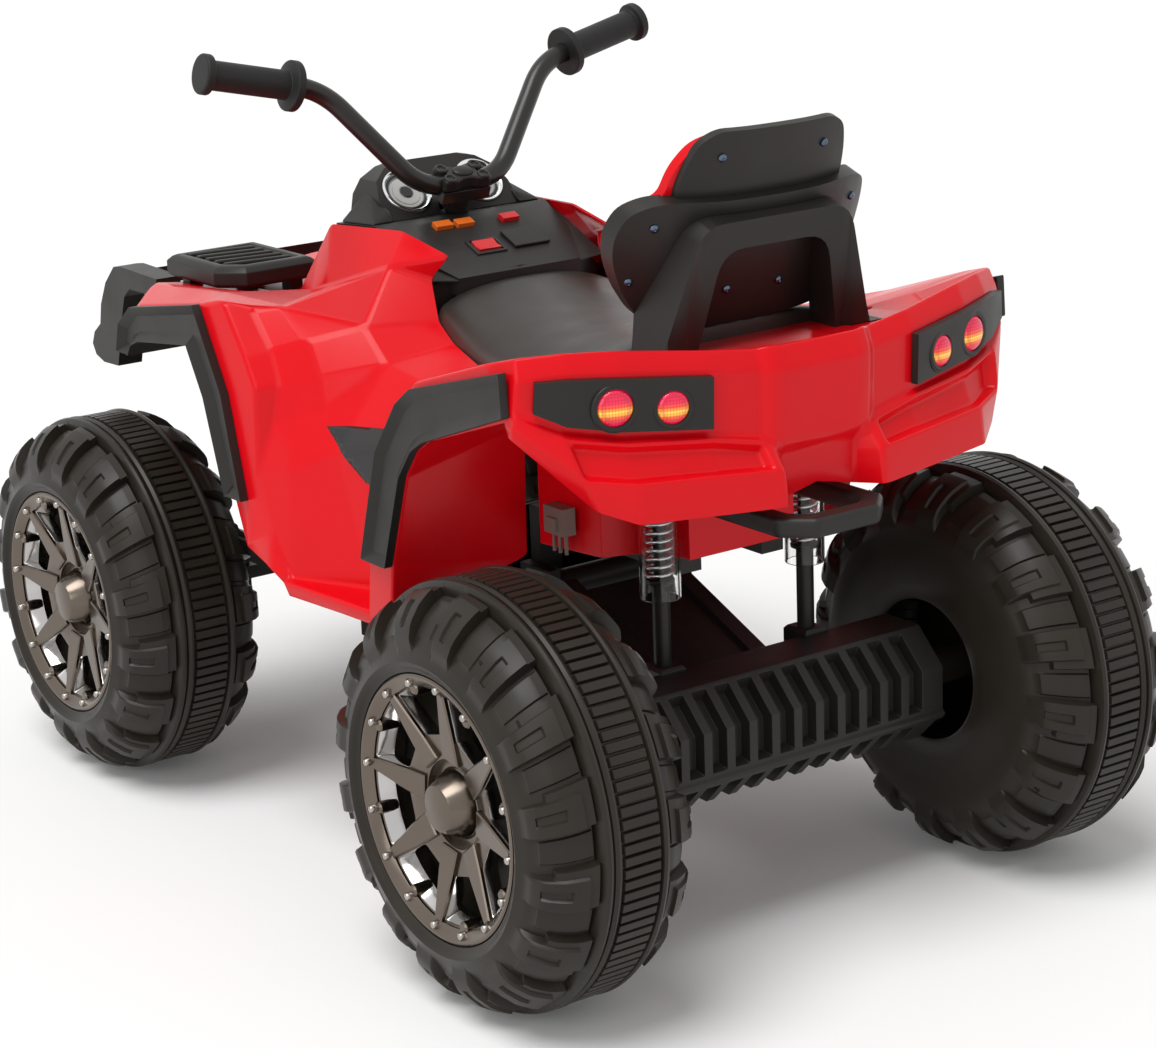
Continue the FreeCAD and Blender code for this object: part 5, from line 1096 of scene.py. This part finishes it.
def frame_place(forward, y, up):
    """A place on the frame, whose legs end level on the deck."""
    if up <= FRAME_FOOT_UP:
        up = (DECK_TOP - BACK_PLACE.z - BACK_FORWARD.z * forward) / BACK_UP.z
    return back_place(forward, y, up)


def frame_rear(y, up):
    share = ramp(0.0, FRAME_TAPER, FRAME_TOP - up)
    return frame_place(-FRAME_SLIM - (FRAME_DEEP - FRAME_SLIM) * share, y, up)


def frame_front(y, up):
    bent = up > 0.0 and abs(y) < FRAME_LEG_Y
    return frame_place(bent_forward(FRAME_FRONT, y) if bent else FRAME_FRONT, y, up)


def make_backrest():
    for name, half, rounding, depths, material, stands_for, width, segments in BACK_SHEETS:
        sheet = bent_sheet(half, rounding, *depths)
        bevel(piece(name, sheet, material, stands_for), width, segments, SHEET_ANGLE)
    hoop = thick_sheet(rounded_outline(FRAME_ARCH, FRAME_ROUND, 5), frame_rear, frame_front)
    bevel(piece("backrest_hoop", hoop, BLACK, ("backrest_frame",)), width=3.0, segments=3, angle=SHEET_ANGLE)
    screws = bmesh.new()
    for y, up, depth in BACK_SCREWS:
        for side in (-1, 1):
            forward = bent_forward(depth, y)
            axis = BACK_FORWARD * (forward - BACK_CURVE) + Vector((0.0, side * y, 0.0))
            turned(SCREW_HEAD, 16, screws, motion_to(back_place(forward, side * y, up) / MM, axis))
    piece("backrest_fixings", outward(screws), SCREW, ("backrest_screws",), flat_angle=32.0)


# Saddle: stations along the seat as (x, half width, side height, edge height, crown height)

SADDLE_STATIONS = [
    (-18, 84, 452, 468, 474), (-26, 88, 450, 470, 477), (-50, 95, 442, 464, 474), (-90, 105, 434, 454, 468),
    (-136, 119, 430, 449, 464), (-180, 126, 432, 450, 465), (-220, 130, 436, 455, 468),
    (-260, 131, 440, 464, 475), (-292, 131, 446, 472, 484), (-312, 128, 452, 474, 486),
    (-318, 122, 456, 472, 483),
]
SADDLE_STEPS = 18
SADDLE_HEM = 12.0
SADDLE_FLARE = 1.0
SHOULDER_POWER = 0.45


def saddle_row(x, half, low, edge, crown):
    row = [(x, -half, low - SADDLE_HEM), (x, -half - SADDLE_FLARE, low)]
    for step in range(SADDLE_STEPS + 1):
        turn = math.pi * (step / SADDLE_STEPS - 0.5)
        across = math.sin(turn)
        bulge = 1.0 - abs(across) ** 3
        shoulder = max(0.0, math.cos(turn)) ** SHOULDER_POWER
        height = low + (edge - low) * shoulder + (crown - edge) * bulge * shoulder
        row.append((x, half * across, height))
    return row + [(x, half + SADDLE_FLARE, low), (x, half, low - SADDLE_HEM)]


def make_seat():
    bm = bmesh.new()
    capped(bm, [verts_at(bm, saddle_row(*station)) for station in SADDLE_STATIONS])
    seat = piece("saddle", outward(bm), SADDLE, ("seat",), flat_angle=50.0)
    smooth = seat.modifiers.new("round", "SUBSURF")
    smooth.levels = 2
    smooth.render_levels = 2


# Tail lamps, springs, gauges and handlebar; the lamp profiles are (along, share of the radius)

LAMP_TURN = math.radians(15.0)
LAMP_PLACES = [("outer", (-385.8, 171.1, 455.0), 14.0), ("inner", (-397.4, 128.2, 450.0), 12.5)]
LENS_DOME = [(-2.0, 1.0), (3.0, 1.0), (5.4, 0.86), (6.6, 0.6), (7.2, 0.3), (7.4, 0.0)]
LENS_RING = [(-2.0, 1.0), (-2.0, 1.3), (3.4, 1.3), (4.6, 1.22), (4.8, 1.1), (4.4, 1.0), (-2.0, 1.0)]
SPRING_X = -302.0
SPRING_Y = 72.0
SPRING_TOP = 400.0
SPRING_LOW = 288.0
SPRING_RADIUS = 10.4
SPRING_WIRE = 1.4
SPRING_TURNS = 16
SPRING_STEPS = 20
GAUGE_AXIS = (-0.715, 0.0, 0.699)
GAUGE_PLACE = (91.8, 37.0, 540.1)
GAUGE_RING = [(-6.0, 19.6), (-6.0, 22.9), (-0.6, 22.9), (0.2, 22.3), (0.4, 21.2), (-0.4, 20.2), (-2.6, 18.6),
              (-6.0, 18.4), (-6.0, 19.6)]
GAUGE_DIAL = [(-6.0, 19.4), (-3.6, 18.9), (-3.2, 16.0), (-3.9, 15.6), (-3.9, 13.0), (-3.2, 12.6), (-3.0, 6.0),
              (-2.2, 5.2), (-2.0, 0.0)]
BAR_CORNERS = [(65.0, 0.0, 545.0), (65.0, 40.0, 545.0), (98.0, 113.0, 634.0), (104.0, 219.0, 658.0)]
BAR_RADIUS = 8.4
BAR_BEND = 24.0


def placed(name, profile, steps, material, place, axis, stands_for=()):
    """A turned piece drawn round its own Y axis and set on a place and an axis, in millimetres."""
    mesh = finished(name, outward(turned(profile, steps)), material, flat_angle=40.0)
    show(name, mesh, "chassis", stands_for, motion_to(place, axis))


def sized(profile, radius):
    return [(along, share * radius) for along, share in profile]


def make_lamps():
    for side, sign in SIDES:
        axis = (-math.cos(LAMP_TURN), sign * math.sin(LAMP_TURN), 0.0)
        for name, (x, y, z), radius in LAMP_PLACES:
            where = name + "_" + side
            place = (x, sign * y, z)
            placed("lens_" + where, sized(LENS_DOME, radius), 40, LENS, place, axis, ("tail_lamp_lenses",))
            placed("lamp_ring_" + where, sized(LENS_RING, radius), 48, BLACK, place, axis)


def make_springs():
    for side, sign in SIDES:
        path = []
        for step in range(SPRING_TURNS * SPRING_STEPS + 1):
            share = step / (SPRING_TURNS * SPRING_STEPS)
            x, y = polar(SPRING_RADIUS, CIRCLE * SPRING_TURNS * share)
            height = SPRING_LOW + SPRING_WIRE + share * (SPRING_TOP - SPRING_LOW - 2.0 * SPRING_WIRE)
            path.append(Vector((SPRING_X + x, sign * SPRING_Y + y, height)))
        mesh = finished("coil_" + side, outward(swept(path, SPRING_WIRE, 8)), BRIGHT_STEEL, flat_angle=60.0)
        coil = bpy.data.objects.new("coil_" + side, mesh)
        scene.collection.objects.link(coil)
        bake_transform(coil)
        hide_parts("springs")


def make_gauges():
    x, y, z = GAUGE_PLACE
    for side, sign in SIDES:
        place = (x, sign * y, z)
        placed("gauge_ring_" + side, GAUGE_RING, 48, CHROME, place, GAUGE_AXIS, ("gauges",))
        placed("gauge_dial_" + side, GAUGE_DIAL, 48, DIAL, place, GAUGE_AXIS)


def make_handlebar():
    half = rounded_path(BAR_CORNERS, BAR_BEND, 8)
    other = [Vector((place.x, -place.y, place.z)) for place in reversed(half[1:])]
    piece("bar_tube", outward(swept(other + half, BAR_RADIUS, 24)), BLACK_STEEL, ("handlebar",))


# Front racks: a chamfered tray with a sunk top and slanting ribs; levels are (height, drawn in by)

RACK_OUTLINE = [(188.5, 74.5), (188.5, 147.0), (211.0, 167.5), (299.5, 167.5), (299.5, 74.5)]
RACK_LEVELS = [(456.0, 3.0), (459.0, 0.0), (470.0, 0.0), (474.0, 4.0), (475.5, 7.0), (475.5, 12.0),
               (472.5, 14.0)]
RACK_RIB = [(0.0, 90.0), (10.0, 152.0), (16.0, 152.0), (6.0, 90.0)]
RACK_RIB_LEVELS = [(471.0, 0.0), (474.6, 0.0), (475.8, 1.2)]
RACK_RIB_START = 207.0
RACK_RIB_STEP = 16.5
RACK_RIBS = 5
RACK_FEET = [(206.0, 92.0), (206.0, 138.0), (284.0, 92.0), (284.0, 150.0)]
RACK_FOOT_HALF = (7.0, 7.0)
RACK_FOOT_LEVELS = [(444.0, 0.0), (457.5, 0.0)]


def make_racks():
    bm = bmesh.new()
    stacked(bm, RACK_OUTLINE, RACK_LEVELS)
    for index in range(RACK_RIBS):
        start = RACK_RIB_START + index * RACK_RIB_STEP
        stacked(bm, [(start + x, y) for x, y in RACK_RIB], RACK_RIB_LEVELS)
    for x, y in RACK_FEET:
        foot = [(x + dx, y + dy) for dx, dy in reversed(rectangle(RACK_FOOT_HALF))]
        stacked(bm, foot, RACK_FOOT_LEVELS)
    bevelled_pair("rack_tray", outward(bm), BLACK, width=1.2, segments=2, stands_for=("front_racks",))


# Wall that closes the seat's front below the dashboard, a little bent

SKIRT_HALF = [(0, 484), (56, 484), (84, 478), (88, 468), (86, 448), (0, 444)]
SKIRT_REAR = -19.0
SKIRT_FRONT = -11.0
SKIRT_BEND = 0.0012


def make_dash_skirt():
    outline = SKIRT_HALF + [(-y, z) for y, z in reversed(SKIRT_HALF) if y > 0]
    skirt = thick_sheet(outline, lambda y, z: Vector((SKIRT_REAR + SKIRT_BEND * y * y, y, z)) * MM,
                        lambda y, z: Vector((SKIRT_FRONT + SKIRT_BEND * y * y, y, z)) * MM)
    bevel(piece("dash_skirt", skirt, BLACK), width=2.0, angle=SHEET_ANGLE)


# Rear axle housing: an octagon with sunk windows between its ribs, a rail along each lower fold, and the pads
# and rods of the springs; window and rail spans are in degrees round the axle

HOUSING_FLAT = 48.0
HOUSING_HALF = 149.8
HOUSING_PITCH = 22.0
HOUSING_RIB = 8.0
HOUSING_RIBS = 13
OCTAGON_STEP = 45.0
RIB_SLOPE = 1.2
WINDOW_SHARE = 0.8
RAIL_SHARE = 1.05
WINDOW_SPANS = [(-15.0, 63.0), (-83.0, -33.0), (117.0, 195.0), (213.0, 263.0)]
RAIL_SPANS = [(-29.0, -19.0), (199.0, 209.0)]
SPAN_EDGE = 0.7
PAD_OUTLINE = [(-316.0, 60.0), (-316.0, 84.0), (-288.0, 84.0), (-288.0, 60.0)]
PAD_LEVELS = [(186.0, 0.0), (215.0, 0.0), (217.8, 2.4)]
ROD_PROFILE = [(210.0, 7.0), (283.6, 7.0), (284.2, 11.2), (287.2, 11.4), (287.8, 10.8), (288.0, 5.0),
               (335.0, 5.0), (336.0, 4.0), (336.0, 0.0)]


def octagon_reach(degrees):
    """Distance from the axis to the octagon's side at an angle."""
    off = (degrees + 0.5 * OCTAGON_STEP) % OCTAGON_STEP - 0.5 * OCTAGON_STEP
    return HOUSING_FLAT / math.cos(math.radians(off))


def housing_turns():
    """Angles of the octagon's corners and middles, and of the edges of windows and rails."""
    turns = {0.5 * OCTAGON_STEP * index - 90.0 for index in range(16)}
    for low, high in WINDOW_SPANS + RAIL_SPANS:
        turns |= {low - SPAN_EDGE, low + SPAN_EDGE, high - SPAN_EDGE, high + SPAN_EDGE}
    return sorted(turns)


def span_share(spans, degrees):
    return max(inside(span, SPAN_EDGE, degrees) for span in spans)


def housing_stops():
    """Places along the axle as (y, sunk), with a short slope at each rib's edge."""
    stops = [(-HOUSING_HALF, 0.0)]
    for index in range(HOUSING_RIBS - 1):
        start = (index - 0.5 * (HOUSING_RIBS - 1)) * HOUSING_PITCH + 0.5 * HOUSING_RIB
        end = start + HOUSING_PITCH - HOUSING_RIB
        stops += [(start, 0.0), (start + RIB_SLOPE, 1.0), (end - RIB_SLOPE, 1.0), (end, 0.0)]
    return stops + [(HOUSING_HALF, 0.0)]


def housing_mesh():
    bm = bmesh.new()
    rings = []
    turns = housing_turns()
    for y, sunk in housing_stops():
        ring = []
        for degrees in turns:
            share = 1.0 + (RAIL_SHARE - 1.0) * span_share(RAIL_SPANS, degrees)
            share -= (1.0 - WINDOW_SHARE) * sunk * span_share(WINDOW_SPANS, degrees)
            x, z = polar(octagon_reach(degrees) * share, degrees)
            ring.append((-AXLE_X - x, y, WHEEL_RADIUS + z))
        rings.append(verts_at(bm, ring))
    capped(bm, rings)
    return bm


def make_housing():
    bm = housing_mesh()
    for sign in (1, -1):
        stacked(bm, [(x, sign * y) for x, y in PAD_OUTLINE][::sign], PAD_LEVELS)
        turned(ROD_PROFILE, 24, bm, motion_to((SPRING_X, sign * SPRING_Y, 0.0), ALONG_Z))
    stands_for = ("axle_housing_upper", "axle_housing_lower")
    bevel(piece("axle_casing", outward(bm), BLACK, stands_for, flat_angle=32.0), width=0.8, angle=35.0)


# Clamp cap: an X of four bosses over the handlebar, drawn flat and set on the leaning column

RAKE = math.radians(25.0)
CLAMP_PLACE = Vector((65.0, 0.0, 545.0))
CLAMP_QUARTER = [(9.0, 5.0), (13.0, 11.0), (13.0, 23.8), (4.5, 23.8), (2.5, 15.0)]
CLAMP_ROUND = 4.0
CLAMP_LEVELS = [(0.6, 0.0), (9.4, 0.0), (11.0, 1.4)]
CLAMP_BOSS = [(8.0, 6.4), (11.4, 6.2), (12.4, 5.4), (12.4, 3.6), (10.6, 3.2), (10.6, 0.0)]
CLAMP_BOSS_HALF = (8.0, 17.0)
CLAMP_CROWN = [(8.0, 7.4), (12.2, 7.2), (13.6, 5.6), (14.2, 3.0), (14.3, 0.0)]
CLAMP_CROWN_LONG = 1.35


def make_clamp():
    bm = bmesh.new()
    half = CLAMP_QUARTER + [(-x, y) for x, y in reversed(CLAMP_QUARTER)]
    outline = half + [(x, -y) for x, y in reversed(half)]
    stacked(bm, rounded_outline(outline[::-1], CLAMP_ROUND, 3), CLAMP_LEVELS)
    for x, y in rectangle(CLAMP_BOSS_HALF):
        turned(CLAMP_BOSS, 24, bm, motion_to((x, y, 0.0), ALONG_Z))
    longer = Matrix.Scale(CLAMP_CROWN_LONG, 4, ALONG_Y)
    turned(CLAMP_CROWN, 32, bm, longer @ motion_to((0.0, 0.0, 0.0), ALONG_Z))
    outward(bm)
    bm.transform(Matrix.Translation(CLAMP_PLACE * MM) @ Matrix.Rotation(-RAKE, 4, "Y"))
    bevel(piece("clamp_cross", bm, BLACK, ("clamp_cap",)), width=0.7)


# Fender edgings: the outer face keeps a raised middle between two broad slopes

TRIM_SLOPE = 8.5
TRIM_DROP = 6.0
TRIM_FACING = 0.98
TRIM_NEAR = 0.5


def trim_mesh(node):
    bm = node_mesh(node)
    bm.normal_update()
    reach = max(abs(vert.co.y) for vert in bm.verts) - TRIM_NEAR * MM
    side = 1.0 if bm.verts[:][0].co.y > 0 else -1.0
    outer = [face for face in bm.faces
             if face.normal.y * side > TRIM_FACING and abs(face.calc_center_median().y) > reach]
    rim = {vert for face in outer for vert in face.verts}
    bmesh.ops.inset_region(bm, faces=outer, thickness=TRIM_SLOPE * MM, depth=0.0, use_even_offset=True)
    for vert in rim:
        vert.co.y -= side * TRIM_DROP * MM
    return bm


def make_trims():
    for end in ("front", "rear"):
        for side, _ in SIDES:
            node = end + "_trim_" + side
            edging = piece(end + "_edging_" + side, trim_mesh(node), BLACK, (node,), flat_angle=32.0)
            bevel(edging, width=1.0, angle=20.0)


# Flanges behind the seams: rows of the two edges, made thick by one shift

FLANGE_WALL = 2.0
FLANGE_EDGE = 0.5
# Behind the seam between front and rear panels: (up, across)
SEAM_ROWS = [(248.0, 166.0), (300.0, 167.0), (378.0, 166.0), (411.0, 146.0), (434.0, 121.0)]
SEAM_FRONT = -122.0
SEAM_BACK = -141.0
SEAM_BEHIND = 4.5
# Turned-down inner edge of the rear deck beside the saddle: (along, across, top, bottom)
DECK_ROWS = [(-317.0, 138.2, 468.5, 440.0), (-300.0, 138.2, 466.3, 432.0), (-240.0, 136.0, 451.2, 418.0),
             (-228.0, 131.6, 444.5, 416.0)]
DASH_SIDE_ROWS = [((-22, 60, 480), (-22, 87, 484)), ((0, 71, 488), (0, 87, 492)),
                  ((22, 81, 497), (22, 88, 501)), ((65, 86, 513), (65, 93, 514)),
                  ((116, 93, 511), (116, 98, 512))]
# Black sheet behind the slit along the hood's edge: a painted shadow that stands for the shade in the seam
HOOD_SHADE_ROWS = [((113, 84, 508), (113, 98, 508)), ((117, 87, 502), (117, 100, 502)),
                    ((156, 98, 438), (156, 112, 438)), ((166, 100, 436), (166, 114, 436)),
                    ((314, 102, 431), (314, 115, 431))]
HOOD_SHADE_WALL = (-1.7, 0.0, -1.1)


def flange_pair(name, rows, wall, material):
    bm = bmesh.new()
    shift = Vector(wall)
    loops = []
    for near, far in rows:
        loops.append(verts_at(bm, [near, far, Vector(far) + shift, Vector(near) + shift]))
    capped(bm, loops)
    bevelled_pair(name, outward(bm), material, FLANGE_EDGE, segments=1)


def make_flanges():
    seam = [((SEAM_FRONT, y - SEAM_BEHIND, z), (SEAM_BACK, y - SEAM_BEHIND, z)) for z, y in SEAM_ROWS]
    deck = [((x, y, top), (x, y, bottom)) for x, y, top, bottom in DECK_ROWS]
    flange_pair("seam_flange", seam, (0.0, -FLANGE_WALL, 0.0), RED)
    flange_pair("deck_flange", deck, (0.0, FLANGE_WALL, 0.0), RED)
    flange_pair("dash_side", DASH_SIDE_ROWS, (0.0, 0.0, -FLANGE_WALL), BLACK)
    # Black here is painted shade in the seam between the hood and the front panels
    flange_pair("hood_seam_shade", HOOD_SHADE_ROWS, HOOD_SHADE_WALL, BLACK)


# Fairings beside the instrument pod, each the hull of its corners, and the rocker's frame, whose loops are
# (half, height)

FAIRING = [(70, 64, 518.6), (70, 88, 518.0), (116, 64, 517.5), (116, 93, 516.5), (79, 64, 528), (84, 72, 527),
           (112, 64, 541), (116, 64, 541), (112, 73, 533), (116, 73, 533)]
FAIRING_PLANE = math.radians(3.0)
DASH_TILT = math.radians(22.8)
ROCKER_PLACE = Vector((14.0, 10.0, 496.9))
ROCKER_HOLE = (8.8, 12.6)
ROCKER_RIM = (11.2, 15.2)
ROCKER_LOOPS = [(ROCKER_RIM, -0.2), (ROCKER_RIM, 1.4), (ROCKER_HOLE, 2.2), (ROCKER_HOLE, -0.2)]


def make_fairings():
    bm = bmesh.new()
    hull = bmesh.ops.convex_hull(bm, input=verts_at(bm, FAIRING))
    spare = [item for item in hull["geom_interior"] if isinstance(item, bmesh.types.BMVert)]
    bmesh.ops.delete(bm, geom=spare, context="VERTS")
    bmesh.ops.dissolve_limit(bm, angle_limit=FAIRING_PLANE, verts=bm.verts, edges=bm.edges)
    bevelled_pair("pod_fairing", outward(bm), BLACK, width=3.0, segments=3)


def make_rocker_frame():
    bm = bmesh.new()
    loops = []
    for half, height in ROCKER_LOOPS:
        loops.append(verts_at(bm, [(x, y, height) for x, y in rectangle(half)]))
    skin_rings(bm, loops + loops[:1])
    outward(bm)
    bm.transform(Matrix.Translation(ROCKER_PLACE * MM) @ Matrix.Rotation(-DASH_TILT, 4, "Y"))
    bevel(piece("rocker_frame", bm, BLACK), width=0.5)


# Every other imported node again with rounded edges: material, width of the edges, nodes

SOFTENED = [
    (BLACK, 1.5, "chassis_frame"), (BLACK, 3.0, "front_bumper"),
    (BLACK, 1.0, "tail_lamp_bezel_left tail_lamp_bezel_right"), (BLACK, 4.0, "rear_handle"),
    (BLACK, 1.5, "dashboard"), (BLACK, 5.0, "instrument_pod"), (BLACK, 0.8, "media_panel"),
    (BLACK, 1.5, "swing_arm"), (BLACK, 0.8, "knuckle_left knuckle_right"), (BLACK, 2.0, "control_box"),
    (BLACK, 1.0, "accelerator_pedal"), (RED, 2.0, "seat_tub"), (LAMP, 4.0, "headlights"),
    (BLACK_STEEL, 0.8, "steering_column tie_rod"), (BLACK_STEEL, 1.0, "front_axle_beam"),
    (BRIGHT_STEEL, 0.5, "pivot_pin rear_axle_shaft"), (GEARBOX, 1.5, "gearboxes"), (MOTOR, 1.0, "motors"),
    (BATTERY, 2.0, "battery"), (ORANGE, 3.0, "horn_button music_button"), (SWITCH_RED, 3.0, "power_button"),
    (SWITCH_RED, 0.8, "rocker_switch"), (IVORY_SHADED, 0.6, "motor_plug"), (CLEAR, 0.3, "spring_tubes"),
    (GRIP, 1.0, "grip_left grip_right"),
]


def make_softened():
    for material, width, names in SOFTENED:
        for node in names.split():
            bevel(piece(node + "_moulding", node_mesh(node), material, (node,), flat_angle=60.0), width)


# Stage, light and camera

WHITE = (1.0, 1.0, 1.0, 1.0)
FLOOR_HALF = (40000.0, 40000.0)
SIDE_LIGHT = Vector((-1.2, 2.4, 1.4))
SIDE_TARGET = Vector((0.0, 0.0, 0.3))
CAMERA_AZIMUTH = math.radians(33.565)
CAMERA_ELEVATION = math.radians(15.802)
CAMERA_ROLL = math.radians(-2.626)
CAMERA_PLACE = Vector((-2020.3, 1349.6, 947.9))
FOCAL_PIXELS = 2904.69
MIDDLE_PIXEL = (508.49, 515.84)
SENSOR = 36.0


def make_world():
    """White to the camera, in reflections and through clear plastic, and a dimmer light on the rest."""
    world = bpy.data.worlds.new("studio")
    scene.world = world
    world.use_nodes = True
    tree = world.node_tree
    tree.nodes.clear()
    light = add_node(tree, "Background", {"Color": (1.0, 0.99, 0.98, 1.0), "Strength": 0.44})
    white = add_node(tree, "Background", {"Color": WHITE, "Strength": 1.0})
    path = add_node(tree, "LightPath")
    seen = add_node(tree, "Math", operation="MAXIMUM")
    shown = add_node(tree, "Math", operation="MAXIMUM")
    mix = add_node(tree, "MixShader")
    join(tree, path, "Is Camera Ray", seen, 0)
    join(tree, path, "Is Glossy Ray", seen, 1)
    join(tree, seen, 0, shown, 0)
    join(tree, path, "Is Transmission Ray", shown, 1)
    join(tree, shown, 0, mix, "Fac")
    join(tree, light, 0, mix, 1)
    join(tree, white, 0, mix, 2)
    join(tree, mix, 0, add_node(tree, "OutputWorld"), "Surface")


def make_floor():
    material, tree, shader = start_material("pale_floor", 0.9)
    mottle(tree, shader, (0.96, 0.96, 0.96), 0.004, 0.6)
    shader.inputs["Specular IOR Level"].default_value = 0.0
    shader.inputs["Emission Color"].default_value = WHITE
    shader.inputs["Emission Strength"].default_value = 0.05
    bm = bmesh.new()
    bm.faces.new(verts_at(bm, [(x, y, 0.0) for x, y in rectangle(FLOOR_HALF)]))
    floor = bpy.data.objects.new("floor", finished("floor", bm, material, flat_angle=32.0))
    scene.collection.objects.link(floor)


def add_light(name, kind, energy, back):
    """A light that shines against the direction back."""
    data = bpy.data.lights.new(name, kind)
    data.energy = energy
    lamp = bpy.data.objects.new(name, data)
    scene.collection.objects.link(lamp)
    lamp.rotation_mode = "QUATERNION"
    lamp.rotation_quaternion = back.to_track_quat("Z", "Y")
    return lamp


def make_lights():
    overhead = add_light("overhead", "SUN", 1.95, Vector((-0.1, 0.42, 1.0)))
    overhead.data.angle = math.radians(36.0)
    side = add_light("side", "AREA", 9.0, SIDE_LIGHT - SIDE_TARGET)
    side.location = SIDE_LIGHT
    side.data.shape = "RECTANGLE"
    side.data.size = 1.6
    side.data.size_y = 1.2


def make_camera():
    level = math.cos(CAMERA_ELEVATION)
    back = Vector((-math.cos(CAMERA_AZIMUTH) * level, math.sin(CAMERA_AZIMUTH) * level,
                   math.sin(CAMERA_ELEVATION)))
    right = (-back).cross(Vector(ALONG_Z)).normalized()
    up = right.cross(-back)
    across = math.cos(CAMERA_ROLL) * right + math.sin(CAMERA_ROLL) * up
    upward = -math.sin(CAMERA_ROLL) * right + math.cos(CAMERA_ROLL) * up
    data = bpy.data.cameras.new("photo_camera")
    data.sensor_fit = "HORIZONTAL"
    data.sensor_width = SENSOR
    data.lens = FOCAL_PIXELS / PHOTO_WIDTH * SENSOR
    data.shift_x = 0.5 - MIDDLE_PIXEL[0] / PHOTO_WIDTH
    data.shift_y = (MIDDLE_PIXEL[1] - 0.5 * PHOTO_HEIGHT) / PHOTO_WIDTH
    data.clip_start = 0.05
    data.clip_end = 120.0
    camera = bpy.data.objects.new("photo_camera", data)
    scene.collection.objects.link(camera)
    turn = Matrix((across, upward, back)).transposed().to_4x4()
    camera.matrix_world = Matrix.Translation(CAMERA_PLACE * MM) @ turn
    scene.camera = camera


make_camera()
make_world()
make_floor()
make_lights()
make_wheels()
make_front_panels()
make_hood()
make_rear_body()
make_backrest()
make_seat()
make_lamps()
make_springs()
make_gauges()
make_handlebar()
make_clamp()
make_trims()
make_racks()
make_dash_skirt()
make_housing()
make_flanges()
make_fairings()
make_rocker_frame()
make_softened()
